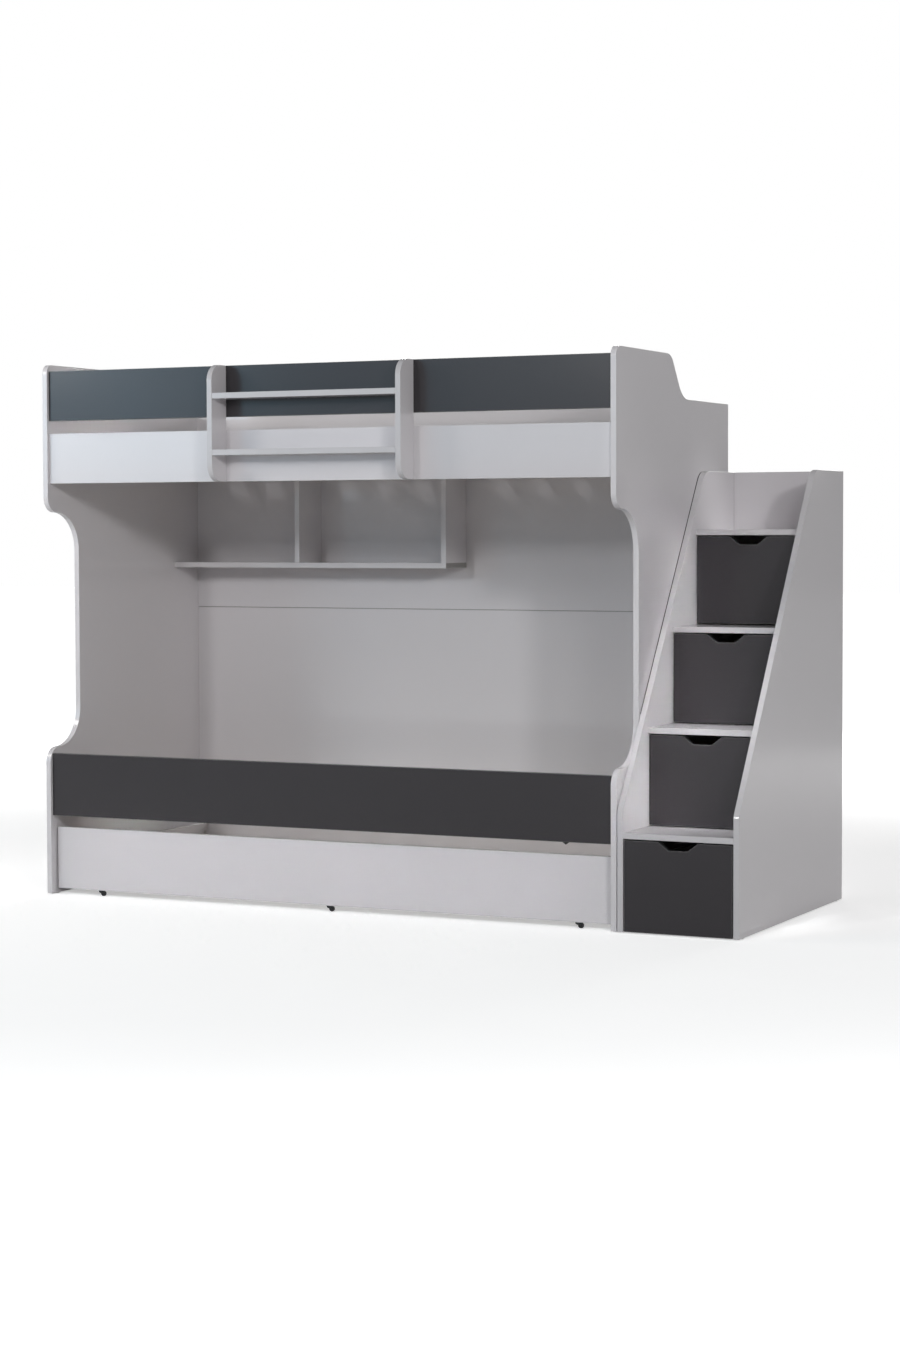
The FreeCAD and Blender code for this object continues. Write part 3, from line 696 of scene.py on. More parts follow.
class MeshBuilder:
    """Collects lofted solids into one mesh with true normals."""

    def __init__(self) -> None:
        """Start with nothing."""
        self.points: List[Vector] = []
        self.normals: List[Vector] = []
        self.faces: List[List[int]] = []
        self.layers: List[int] = []

    def loft(
        self, axis: Axis, loop: Sequence[LoopPoint], stations: Sequence[Station], recesses: Sequence[Recess] = ()
    ) -> "MeshBuilder":
        """Add a closed solid: rings along an axis, two flat caps and the seats sunk into them.

        Args:
            axis: The solid's axis.
            loop: The outline.
            stations: The rings, from the low cap to the high cap.
            recesses: Seats in the caps.

        Returns:
            This builder.
        """
        rings = [self._ring(axis, loop, station) for station in stations]
        for low, high, station in zip(rings, rings[1:], stations[1:]):
            self._wall(axis, low, high, station.layer)
        for side, ring, station in ((Side.LOW, rings[0], stations[0]), (Side.HIGH, rings[-1], stations[-1])):
            holes = [self._sink(axis, recess, station.height) for recess in recesses if recess.side is side]
            self._cap(axis, side, ring, holes, Layer.FACE)
        return self

    def _ring(self, axis: Axis, loop: Sequence[LoopPoint], station: Station) -> List[int]:
        """Add a ring of points.

        Args:
            axis: The solid's axis.
            loop: The outline.
            station: The ring's inset, height and lean.

        Returns:
            The points' numbers.
        """
        along, first, second = axis.value
        start = len(self.points)
        flat, rise = math.cos(station.lean), math.sin(station.lean)
        for a, b, na, nb in loop:
            spot, normal = Vector(), Vector()
            spot[along], spot[first], spot[second] = station.height, a - na * station.inset, b - nb * station.inset
            normal[along], normal[first], normal[second] = rise, na * flat, nb * flat
            self.points.append(spot)
            self.normals.append(normal)
        return list(range(start, len(self.points)))

    def _face(self, axis: Axis, corners: Sequence[int], layer: Layer) -> None:
        """Add a face whose corners run counter-clockwise in a right-handed set."""
        self.faces.append(list(reversed(corners)) if axis.mirrored else list(corners))
        self.layers.append(layer.value)

    def _wall(self, axis: Axis, low: Sequence[int], high: Sequence[int], layer: Layer) -> None:
        """Join two rings.

        Args:
            axis: The solid's axis.
            low: The lower ring.
            high: The upper ring.
            layer: The wall's material slot.
        """
        for index in range(len(low)):
            after = (index + 1) % len(low)
            self._face(axis, (low[index], low[after], high[after], high[index]), layer)

    def _cap(self, axis: Axis, side: Side, ring: Sequence[int], holes: Sequence[Sequence[int]], layer: Layer) -> None:
        """Fill a ring, leaving its holes open.

        Args:
            axis: The solid's axis.
            side: The side that the cap closes.
            ring: The rim.
            holes: The rims of its holes.
            layer: The cap's material slot.
        """
        _, first, second = axis.value
        order = [index for loop in (ring, *holes) for index in loop]
        flat = [[(self.points[i][first], self.points[i][second], 0.0) for i in loop] for loop in (ring, *holes)]
        for corners in tessellate_polygon(flat):
            trio = [order[i] for i in corners]
            (ax, ay), (bx, by), (cx, cy) = [(self.points[i][first], self.points[i][second]) for i in trio]
            area = (bx - ax) * (cy - ay) - (by - ay) * (cx - ax)
            if (area > 0) is not (side is Side.HIGH):
                trio.reverse()
            self._face(axis, trio, layer)

    def _sink(self, axis: Axis, recess: Recess, surface: float) -> List[int]:
        """Add a seat's walls and floor.

        Args:
            axis: The solid's axis.
            recess: The seat.
            surface: Height of the face that it is sunk into.

        Returns:
            The seat's rim.
        """
        way = 1.0 if recess.side is Side.HIGH else -1.0
        lip, depth, up = recess.lip, recess.depth, way * QUARTER
        steps = ((-lip, 0.0, up), (0.0, lip, math.pi), (0.0, depth - lip, math.pi), (lip, depth, up))
        stations = [Station(inset, surface - way * sunk, lean) for inset, sunk, lean in steps]
        rings = [self._ring(axis, recess.loop, station) for station in stations]
        for outer, inner in zip(rings, rings[1:]):
            if recess.side is Side.LOW:
                outer, inner = outer[::-1], inner[::-1]
            self._wall(axis, outer, inner, recess.layer)
        self._cap(axis, recess.side, rings[-1], (), recess.layer)
        return rings[0]

    def build(self, name: str, materials: Sequence[bpy.types.Material]) -> bpy.types.Object:
        """Make the object.

        Args:
            name: The piece's name.
            materials: Its slots; a layer past the last one takes the last one.

        Returns:
            The object, linked to the scene.
        """
        mesh = bpy.data.meshes.new(name)
        mesh.from_pydata([tuple(point) for point in self.points], [], self.faces)
        for material in materials:
            mesh.materials.append(material)
        last = len(materials) - 1
        mesh.polygons.foreach_set("material_index", [min(layer, last) for layer in self.layers])
        mesh.shade_smooth()
        mesh.normals_split_custom_set_from_vertices([tuple(normal) for normal in self.normals])
        mesh.update()
        return link(bpy.data.objects.new(name, mesh))


def turned(radius: float, steps: int, stations: Sequence[Station], *recesses: Recess) -> MeshBuilder:
    """A solid turned about Z, with its rings from the bottom to the top and seats in its ends."""
    return MeshBuilder().loft(Axis.Z, circle_loop(radius, steps), stations, recesses)


def link(piece: bpy.types.Object) -> bpy.types.Object:
    """Put an object in the scene."""
    bpy.context.scene.collection.objects.link(piece)
    return piece


def spread(count: int, low: float, high: float) -> List[float]:
    """Evenly spaced places from low to high, both ends included."""
    return [low + (high - low) * index / (count - 1) for index in range(count)]


def edge_stations(low: float, high: float, edge: float, glue: float = 0.0, steps: int = 3) -> List[Station]:
    """Rings of a board whose edges are rounded.

    Args:
        low: Height of the low face.
        high: Height of the high face.
        edge: Radius of the rounded edges.
        glue: Width of the glue line beside the band, or 0 for none.
        steps: Steps of a rounded edge.

    Returns:
        The rings, from the low face to the high face.
    """
    arc = [(edge * (1 - math.sin(t)), edge * (1 - math.cos(t)), QUARTER - t) for t in spread(steps + 1, 0.0, QUARTER)]
    climb = [Station(inset, low + height, -lean) for inset, height, lean in arc]
    fall = [Station(inset, high - height, lean) for inset, height, lean in reversed(arc)]
    if glue:
        climb[0] = replace(climb[0], layer=Layer.GLUE)
        climb.insert(0, Station(edge + glue, low, -QUARTER))
        fall.append(Station(edge + glue, high, QUARTER, Layer.GLUE))
    return climb + fall


@dataclass
class Board:
    """A board between two heights along its axis, with rounded edges and sunk seats."""

    axis: Axis
    low: float
    high: float
    corners: Sequence[Corner]
    recesses: List[Recess] = field(default_factory=list)
    edge: float = 0.7 * MM
    glue: float = 0.25 * MM
    seat_steps: int = 32

    @classmethod
    def between(cls, axis: Axis, lowest: Vector, highest: Vector, **more: Any) -> "Board":
        """A plain board between two corners.

        Args:
            axis: Direction of its thickness.
            lowest: Lowest corner.
            highest: Highest corner.
            more: Other fields.

        Returns:
            The board.
        """
        along, a, b = axis.value
        ends = ((lowest[a], lowest[b]), (highest[a], lowest[b]), (highest[a], highest[b]), (lowest[a], highest[b]))
        return cls(axis, lowest[along], highest[along], [Corner(*end) for end in ends], **more)

    @classmethod
    def pair(cls, axis: Axis, lowest: Vector, highest: Vector, thickness: float, **more: Any) -> List["Board"]:
        """Two boards that close a box at both ends of an axis.

        Args:
            axis: Direction of their thickness.
            lowest: Lowest corner of the box.
            highest: Highest corner of the box.
            thickness: Their thickness.
            more: Other fields.

        Returns:
            The low and the high board.
        """
        along = axis.value[0]
        first_end, second_start = highest.copy(), lowest.copy()
        first_end[along], second_start[along] = lowest[along] + thickness, highest[along] - thickness
        return [cls.between(axis, lowest, first_end, **more), cls.between(axis, second_start, highest, **more)]

    def seat(self, at: Vector, face: Vector, radius: float, depth: float) -> None:
        """Sink a round seat into a face.

        Args:
            at: A point on the seat's axis.
            face: Direction that the face looks in.
            radius: The seat's radius.
            depth: Its depth.
        """
        along, first, second = self.axis.value
        side = Side.HIGH if face[along] > 0 else Side.LOW
        self.recesses.append(Recess(circle_loop(radius, self.seat_steps, at[first], at[second]), depth, side))

    def add_to(self, mesh: MeshBuilder) -> None:
        """Add the board to a mesh."""
        stations = edge_stations(self.low, self.high, self.edge, self.glue)
        mesh.loft(self.axis, rounded_loop(self.corners), stations, self.recesses)


def settle(piece: bpy.types.Object, dressing: Dressing, *nodes: str, body: str = "bed") -> None:
    """Let a piece ride on its body and stand for its nodes.

    Args:
        piece: The piece.
        dressing: Its finish; not used.
        nodes: The nodes it stands for.
        body: The body it rides on.
    """
    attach(piece, body)
    if nodes:
        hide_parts(*nodes)
    LOG.info("%s rides on %s: %d faces", piece.name, body, len(piece.data.polygons))


def board_piece(name: str, boards: Sequence[Board], dressing: Dressing, *nodes: str, body: str = "bed") -> None:
    """Build boards as one piece that stands for CAD nodes.

    Args:
        name: The piece's name.
        boards: Its boards.
        dressing: Its finish.
        nodes: The nodes it stands for.
        body: The body it rides on.
    """
    mesh = MeshBuilder()
    for board in boards:
        board.add_to(mesh)
    settle(mesh.build(name, dressing.materials), dressing, *nodes, body=body)


def eased_copy(
    node: str,
    name: str,
    dressing: Dressing,
    edge: float,
    flat: float = math.radians(0.5),
    sharp: float = math.radians(35),
) -> bpy.types.Object:
    """A merged copy of a CAD node with eased edges.

    Args:
        node: The CAD node.
        name: The piece's name.
        dressing: Its finish.
        edge: Width of the eased edges.
        flat: Largest bend of an edge that is dissolved.
        sharp: Smallest bend of an edge that is eased.

    Returns:
        The piece, linked to the scene.
    """
    shape = bmesh.new()
    shape.from_mesh(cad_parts[node].data)
    bmesh.ops.remove_doubles(shape, verts=shape.verts, dist=SAME_POINT)
    level = [one for one in shape.edges if one.is_manifold and one.calc_face_angle(0.0) < flat]
    bmesh.ops.dissolve_edges(shape, edges=level, use_verts=True)
    keen = [one for one in shape.edges if one.is_manifold and one.calc_face_angle(0.0) > sharp]
    bmesh.ops.bevel(shape, geom=keen, offset=edge, segments=2, profile=0.5, affect="EDGES", clamp_overlap=True)
    bmesh.ops.triangulate(shape, faces=[face for face in shape.faces if len(face.verts) > 4])
    mesh = bpy.data.meshes.new(name)
    shape.to_mesh(mesh)
    shape.free()
    mesh.materials.clear()
    mesh.materials.append(dressing.materials[0])
    mesh.polygons.foreach_set("material_index", [0] * len(mesh.polygons))
    mesh.shade_smooth()
    mesh.set_sharp_from_angle(angle=SMOOTH_ANGLE)
    return link(bpy.data.objects.new(name, mesh))


# --- Geometry Nodes kit -----------------------------------------------------------------------


class RowTree(NodeKit):
    """A Geometry Nodes tree with named inputs that repeats a pattern piece."""

    def __init__(self, name: str, **inputs: str) -> None:
        """Start a tree.

        Args:
            name: The tree's name.
            inputs: Kinds of its inputs by name, after the geometry; the material comes last.
        """
        super().__init__(bpy.data.node_groups.new(name, "GeometryNodeTree"))
        self.identifiers: Dict[str, str] = {}
        for label, kind in {"Geometry": "Geometry", **inputs, "Material": "Material"}.items():
            self.identifiers[label] = self.socket(label, "INPUT", kind)
        self.socket("Geometry", "OUTPUT", "Geometry")
        self.given = self.tree.nodes.new("NodeGroupInput").outputs

    def socket(self, name: str, way: str, kind: str) -> str:
        """Give the tree an input or an output, and give back its identifier."""
        made = self.tree.interface.new_socket(name=name, in_out=way, socket_type="NodeSocket" + kind)
        return made.identifier

    def close(self, instances: bpy.types.NodeSocket) -> None:
        """End the tree in realized instances with their material.

        Args:
            instances: The instances.
        """
        solid = self.node("GeometryNodeRealizeInstances", Geometry=instances).outputs[0]
        dressed = self.node("GeometryNodeSetMaterial", Geometry=solid, Material=self.given["Material"])
        self.plug(self.tree.nodes.new("NodeGroupOutput").inputs[0], dressed.outputs[0])

    def run(self, name: str, base: bpy.types.Mesh, **values: Any) -> bpy.types.Object:
        """Run the tree on a base mesh and keep the result as a plain mesh.

        Args:
            name: The finished piece's name.
            base: The mesh that the tree starts from.
            values: Values of the tree's inputs by name.

        Returns:
            The finished piece, linked to the scene.
        """
        carrier = link(bpy.data.objects.new(name + "_carrier", base))
        modifier = carrier.modifiers.new("row", "NODES")
        modifier.node_group = self.tree
        for label, value in values.items():
            modifier[self.identifiers[label]] = value
        bpy.context.view_layer.update()
        graph = bpy.context.evaluated_depsgraph_get()
        mesh = bpy.data.meshes.new_from_object(
            carrier.evaluated_get(graph), preserve_all_data_layers=True, depsgraph=graph
        )
        carrier.modifiers.remove(modifier)
        bpy.data.objects.remove(carrier)
        mesh.name = name
        mesh.shade_smooth()
        mesh.set_sharp_from_angle(angle=SMOOTH_ANGLE)
        return link(bpy.data.objects.new(name, mesh))


class SlatTree(RowTree):
    """An even row of slats along X, each with its own tone."""

    def __init__(self) -> None:
        """Build the tree."""
        super().__init__("slat_row", Slat="Object", Count="Int", First="Vector", Pitch="Vector", Seed="Int")
        given = self.given
        places = {"Count": given["Count"], "Start_Location": given["First"], "Offset": given["Pitch"]}
        line = self.node("GeometryNodeMeshLine", **places).outputs[0]
        pattern = pick(self.node("GeometryNodeObjectInfo", Object=given["Slat"]).outputs, "Geometry")
        row = self.node("GeometryNodeInstanceOnPoints", Points=line, Instance=pattern).outputs[0]
        chance = self.node("FunctionNodeRandomValue", {"data_type": "FLOAT"}, Seed=given["Seed"])
        settings = {"data_type": "FLOAT", "domain": "INSTANCE"}
        tone = {"Name": "tone", "Value": pick(chance.outputs, "Value")}
        self.close(self.node("GeometryNodeStoreNamedAttribute", settings, Geometry=row, **tone).outputs[0])


class FastenerTree(RowTree):
    """Fasteners on points, each turned to its facing and then by chance about itself."""

    def __init__(self) -> None:
        """Build the tree."""
        super().__init__("fasteners_on_points", Fastener="Object", Turn="Float", Seed="Int")
        given = self.given
        points = self.node("GeometryNodeMeshToPoints", Mesh=given["Geometry"]).outputs[0]
        facing = self.node("GeometryNodeInputNamedAttribute", {"data_type": "FLOAT_VECTOR"}, Name="facing")
        facing_way = pick(facing.outputs, "Attribute")
        aim = self.node("FunctionNodeAlignRotationToVector", {"axis": "Z"}, Vector=facing_way).outputs[0]
        pattern = pick(self.node("GeometryNodeObjectInfo", Object=given["Fastener"]).outputs, "Geometry")
        placed = self.node("GeometryNodeInstanceOnPoints", Points=points, Instance=pattern, Rotation=aim)
        chance = self.node("FunctionNodeRandomValue", {"data_type": "FLOAT"}, Max=given["Turn"], Seed=given["Seed"])
        spin = self.node("ShaderNodeCombineXYZ", Z=pick(chance.outputs, "Value")).outputs[0]
        turn = {"Instances": placed.outputs[0], "Rotation": spin, "Local_Space": True}
        self.close(self.node("GeometryNodeRotateInstances", **turn).outputs[0])


@dataclass(frozen=True)
class Spot:
    """A place on a surface and the direction that it faces."""

    at: Vector
    facing: Vector


def spots_mesh(spots: Sequence[Spot]) -> bpy.types.Mesh:
    """A mesh of loose points that carry their facing.

    Args:
        spots: The places.

    Returns:
        The mesh.
    """
    mesh = bpy.data.meshes.new("spots")
    mesh.from_pydata([tuple(spot.at) for spot in spots], [], [])
    facing = mesh.attributes.new("facing", "FLOAT_VECTOR", "POINT")
    facing.data.foreach_set("vector", [value for spot in spots for value in spot.facing])
    return mesh


@dataclass
class Rows:
    """The two row trees and the pattern pieces that they repeat."""

    finishes: FinishSet
    turn_seed: int = 11
    slat_edge: float = 2.2 * MM
    slats: SlatTree = field(default_factory=SlatTree)
    fasteners: FastenerTree = field(default_factory=FastenerTree)

    def scatter(
        self,
        name: str,
        pattern: MeshBuilder,
        spots: Sequence[Spot],
        dressing: Dressing,
        *nodes: str,
        body: str = "bed",
        turn: float = 0.0,
    ) -> None:
        """Repeat a pattern piece on spots, as one piece that stands for CAD nodes.

        Args:
            name: The finished piece's name.
            pattern: What is repeated: its Z is turned to a spot's facing.
            spots: Where it goes.
            dressing: Its finish.
            nodes: The nodes it stands for.
            body: The body it rides on.
            turn: Largest chance turn about itself.
        """
        one = pattern.build(name + "_pattern", self.finishes.zinc.materials)
        values = {"Fastener": one, "Turn": turn, "Seed": self.turn_seed, "Material": dressing.materials[0]}
        piece = self.fasteners.run(name, spots_mesh(spots), **values)
        bpy.data.objects.remove(one)
        settle(piece, dressing, *nodes, body=body)

    def slat_row(self, node: str, body: str, count: int, width: float) -> None:
        """Build the row of slats that stands for a node.

        Args:
            node: The CAD node.
            body: The body it rides on.
            count: Number of slats.
            width: Width of a slat.
        """
        name, pine = node + "_row", self.finishes.pine_across
        low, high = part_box(node)
        highest = Vector((width / 2, high.y - low.y, high.z - low.z))
        mesh = MeshBuilder()
        Board.between(Axis.Z, Vector((-width / 2, 0.0, 0.0)), highest, edge=self.slat_edge, glue=0.0).add_to(mesh)
        slat = mesh.build(name + "_pattern", pine.materials)
        first = (low.x + width / 2, low.y, low.z)
        pitch = ((high.x - low.x - width) / (count - 1), 0.0, 0.0)
        values = {"Slat": slat, "Count": count, "First": first, "Pitch": pitch, "Seed": len(name)}
        base = bpy.data.meshes.new("slat_base")
        piece = self.slats.run(name, base, **values, Material=pine.materials[0])
        bpy.data.objects.remove(slat)
        settle(piece, pine, node, body=body)


# --- Fittings ---------------------------------------------------------------------------------


@dataclass
class Fittings:
    """Cams, cam bolts and screws, collected by body while the boards are made."""

    finishes: FinishSet
    rows: Rows
    cam_radius: float = 7.4 * MM
    cam_rim: float = 0.45 * MM
    cam_seat: float = 7.5 * MM
    cam_depth: float = 12.5 * MM
    cam_setback: float = 24 * MM
    cam_margin: float = 33 * MM
    cam_cross: Tuple[float, float] = (4.5 * MM, 1.7 * MM)
    cam_cross_depth: float = 1.9 * MM
    dot_ring: float = 5.4 * MM
    dot_radius: float = 0.55 * MM
    dot_depth: float = 0.4 * MM
    bolt_radius: float = 3.3 * MM
    bolt_anchor: float = 11 * MM
    bolt_short: float = 3 * MM
    bolt_threads: int = 6
    bolt_pitch: float = 1.6 * MM
    screw_seat: float = 4.1 * MM
    screw_head: float = 4.0 * MM
    screw_head_depth: float = 2.5 * MM
    screw_play: float = 0.1 * MM
    screw_shank: float = 2.0 * MM
    screw_pitch: float = 2.0 * MM
    screw_cross: Tuple[float, float] = (2.3 * MM, 0.95 * MM)
    screw_cross_depth: float = 1.5 * MM
    screw_length: float = 38 * MM
    cams: Dict[str, List[Spot]] = field(default_factory=dict)
    bolts: Dict[str, List[Spot]] = field(default_factory=dict)
    screws: Dict[str, List[Spot]] = field(default_factory=dict)

    def cam(self, board: Board, body: str, end: Vector, along: Vector, face: Vector) -> None:
        """Sink a cam into a board beside its end.

        Args:
            board: The board that holds the cam.
            body: The body it rides on.
            end: Point on the board's end, on the face that shows the cam.
            along: Direction from the end into the board.
            face: Direction that the cam faces.
        """
        place = end + along * self.cam_setback
        board.seat(place, face, self.cam_seat, self.cam_depth)
        self.cams.setdefault(body, []).append(Spot(place, face))
        self.bolts.setdefault(body, []).append(Spot(end - face * (BOARD / 2) - along * self.bolt_anchor, -along))

    def end_cams(self, board: Board, count: int) -> None:
        """Cams at both ends of a board that runs along the bed, on its rear face.

        Args:
            board: The board.
            count: Number of cams at each end.
        """
        first, last = board.corners[0], board.corners[2]
        for z in spread(count, first.b + self.cam_margin, last.b - self.cam_margin):
            self.cam(board, "bed", Vector((first.a, board.high, z)), RIGHT, REAR)
            self.cam(board, "bed", Vector((last.a, board.high, z)), LEFT, REAR)

    def screw(self, board: Board, at: Vector, face: Vector, body: str = "bed") -> None:
        """Sink a screw into a board's face.

        Args:
            board: The board that holds the head.
            at: Middle of the head.
            face: Direction that the head faces.
            body: The body it rides on.
        """
        board.seat(at, face, self.screw_seat, self.screw_head_depth + self.screw_play)
        self.screws.setdefault(body, []).append(Spot(at, face))

    def cam_pattern(self) -> MeshBuilder:
        """A cam: a disc with an eased rim, a ring of dots and the cross that turns it.

        Returns:
            A builder that holds it.
        """
        recesses = [Recess(cross_loop(*self.cam_cross), self.cam_cross_depth)]
        for turn in spread(4, math.pi / 4, math.pi * 7 / 4):
            place = (self.dot_ring * math.cos(turn), self.dot_ring * math.sin(turn))
            recesses.append(Recess(circle_loop(self.dot_radius, 10, *place), self.dot_depth, lip=0.1 * MM))
        return turned(self.cam_radius, 40, edge_stations(-self.cam_depth, 0.0, self.cam_rim), *recesses)

    def bolt_pattern(self) -> MeshBuilder:
        """A cam bolt: threaded end, collar, thin neck and ball head, from its anchored end down.

        Returns:
            A builder that holds it.
        """
        anchor = self.bolt_anchor
        tip = -(anchor + self.cam_setback - self.bolt_short)
        levels = [
            (1.2 * MM, tip, -QUARTER),
            (0.2 * MM, tip + 1.0 * MM, -0.5),
            (0.2 * MM, tip + 3.5 * MM, 0.5),
            (1.5 * MM, tip + 4.5 * MM, 0.3),
            (1.5 * MM, tip + 9 * MM, -0.3),
            (0.5 * MM, tip + 10 * MM, 0.0),
            (0.5 * MM, -anchor - 1 * MM, 0.0),
            (0.0, -anchor, 0.0),
        ]
        for step in range(self.bolt_threads):
            level = -anchor + (step + 0.5) * self.bolt_pitch
            levels += [(0.7 * MM, level, 0.0), (0.0, level + 0.6 * MM, 0.0)]
        levels.append((0.6 * MM, 0.0, QUARTER))
        return turned(self.bolt_radius, 20, [Station(*level) for level in levels])

    def screw_pattern(self, length: float) -> MeshBuilder:
        """A countersunk screw with a cross recess and a ridged shank.

        Args:
            length: Length from the head's face to the tip.

        Returns:
            A builder that holds it.
        """
        head, neck = self.screw_head, self.screw_head - self.screw_shank
        levels = [(head - 0.2 * MM, -length, -QUARTER), (neck + 0.4 * MM, -length + 4 * MM, -0.4)]
        ridge = -length + 5 * MM
        while ridge < -self.screw_head_depth - 6 * MM:
            levels += [(neck + 0.5 * MM, ridge, 0.0), (neck, ridge + 0.8 * MM, 0.0)]
            ridge += self.screw_pitch
        levels += [(neck, -self.screw_head_depth, -0.3), (0.15 * MM, -0.35 * MM, -0.7)]
        levels += [(0.0, -0.2 * MM, 0.0), (0.15 * MM, 0.0, QUARTER)]
        recess = Recess(cross_loop(*self.screw_cross), self.screw_cross_depth, lip=0.08 * MM)
        return turned(head, 24, [Station(*level) for level in levels], recess)

    def set_cams(self, name: str, body: str, *nodes: str) -> None:
        """Set a body's cams and cam bolts.

        Args:
            name: Start of the pieces' names.
            body: The body.
            nodes: The nodes that the cams stand for.
        """
        zinc, more = self.finishes.zinc, {"body": body, "turn": math.tau}
        self.rows.scatter(name + "_discs", self.cam_pattern(), self.cams[body], zinc, *nodes, **more)
        self.rows.scatter(name + "_bolts", self.bolt_pattern(), self.bolts[body], zinc, **more)

    def set_screws(self, name: str, body: str, *nodes: str) -> None:
        """Set a body's wood screws.

        Args:
            name: The piece's name.
            body: The body.
            nodes: The nodes that they stand for.
        """
        pattern, zinc = self.screw_pattern(self.screw_length), self.finishes.zinc
        self.rows.scatter(name, pattern, self.screws[body], zinc, *nodes, body=body, turn=math.tau)


# --- Sub-assemblies ---------------------------------------------------------------------------


def middle_x(node: str) -> float:
    """The middle of a node along the bed."""
    low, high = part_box(node)
    return (low.x + high.x) / 2


@dataclass
class BunkFrame:
    """End panels, rails, guard board and back panels."""

    finishes: FinishSet
    fittings: Fittings
    corner_radius: float = 30 * MM
    crest_length: float = 410 * MM
    crest_radius: float = 62 * MM
    slope_length: float = 83 * MM
    dip_radius: float = 97 * MM
    rear_drop: float = 135.5 * MM
    lobe_radius: float = 50 * MM
    bay_radius: float = 125 * MM
    lower_neck: float = 487 * MM
    upper_neck: float = 1262 * MM
    seam_gap: float = 1.8 * MM
    seam_depth: float = 3 * MM
    seam_edge: float = 0.1 * MM
    shelf_screw_inset: float = 60 * MM

    def panel_corners(self, low: Vector, high: Vector) -> List[Corner]:
        """The outline of an end panel.

        Args:
            low: Lowest corner of the panel.
            high: Highest corner of the panel.

        Returns:
            Its corners in (Y, Z).
        """
        radii = self.crest_radius + self.dip_radius
        reach = math.hypot(radii, self.slope_length)
        slope = math.atan2(radii, self.slope_length) + math.asin((self.rear_drop - radii) / reach)
        crest = low.y + self.crest_length + self.crest_radius * math.tan(slope / 2)
        bay = low.y + self.lobe_radius + self.bay_radius
        rear_top = high.z - self.rear_drop
        return [
            Corner(low.y, low.z),
            Corner(low.y, self.lower_neck, self.lobe_radius),
            Corner(bay, self.lower_neck, self.bay_radius),
            Corner(bay, self.upper_neck, self.bay_radius),
            Corner(low.y, self.upper_neck, self.lobe_radius),
            Corner(low.y, high.z, self.corner_radius),
            Corner(crest, high.z, self.crest_radius),
            Corner(crest + self.rear_drop / math.tan(slope), rear_top, self.dip_radius),
            Corner(high.y, rear_top),
            Corner(high.y, low.z),
        ]

    def build(self) -> None:
        """Build and dress the frame."""
        white, dark = self.finishes.white, self.finishes.dark
        for node in ("left_end_panel", "right_end_panel"):
            low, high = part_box(node)
            panel = Board(Axis.X, low.x, high.x, self.panel_corners(low, high))
            board_piece(node + "_board", [panel], white, node)
        for node, dressing in (("upper_guard_board", dark), ("upper_front_rail", white), ("lower_front_rail", dark)):
            rail = Board.between(Axis.Y, *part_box(node))
            self.fittings.end_cams(rail, 2)
            if node.startswith("upper"):
                self.screw_rack(rail, node == "upper_guard_board")
            board_piece(node + "_board", [rail], dressing, node)
        seam = UP * (self.seam_gap / 2)
        for node in ("back_panel_upper", "back_panel_lower"):
            low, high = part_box(node)
            upper = node == "back_panel_upper"
            back = Board.between(Axis.Y, low + seam if upper else low, high if upper else high - seam)
            self.fittings.end_cams(back, 3)
            if upper:
                self.screw_wall_shelf(back)
            board_piece(node + "_board", [back], white, node)
        self.build_seam_shade(seam)

    def build_seam_shade(self, half: Vector) -> None:
        """A dark strip of painted shade deep in the seam of the back panels, where the gap falls into shade.

        Args:
            half: From the middle of the seam to its upper side.
        """
        low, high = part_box("back_panel_lower")
        start = Vector((low.x, low.y + self.seam_depth, high.z)) - half
        end = Vector((high.x, high.y - self.seam_depth, high.z)) + half
        # Painted shade: a dark strip put into the seam so that the gap reads dark.
        strip = Board.between(Axis.Z, start, end, edge=self.seam_edge, glue=0.0)
        board_piece("back_seam_strip", [strip], self.finishes.bare)

    def screw_rack(self, rail: Board, guard: bool) -> None:
        """Screws from behind a rail into the sides of the rack.

        Args:
            rail: The rail or guard board.
            guard: Whether it is the guard board.
        """
        margin = self.fittings.cam_margin
        top, bottom = rail.corners[2].b, rail.corners[0].b
        for side in ("rack_left_side", "rack_right_side"):
            for z in (bottom + margin, top - margin) if guard else (top - margin,):
                self.fittings.screw(rail, Vector((middle_x(side), rail.high, z)), REAR)

    def screw_wall_shelf(self, back: Board) -> None:
        """Screws from behind the upper back panel into the wall shelf.

        Args:
            back: The upper back panel.
        """
        for node in ("wall_shelf_divider", "wall_shelf_end"):
            low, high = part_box(node)
            for z in (low.z + self.shelf_screw_inset, high.z - self.shelf_screw_inset):
                self.fittings.screw(back, Vector((middle_x(node), back.high, z)), REAR)
        low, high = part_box("wall_shelf_board")
        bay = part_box("wall_shelf_divider")[0].x - low.x
        for x in (low.x + bay / 2, low.x + bay * 3 / 2):
            self.fittings.screw(back, Vector((x, back.high, (low.z + high.z) / 2)), REAR)


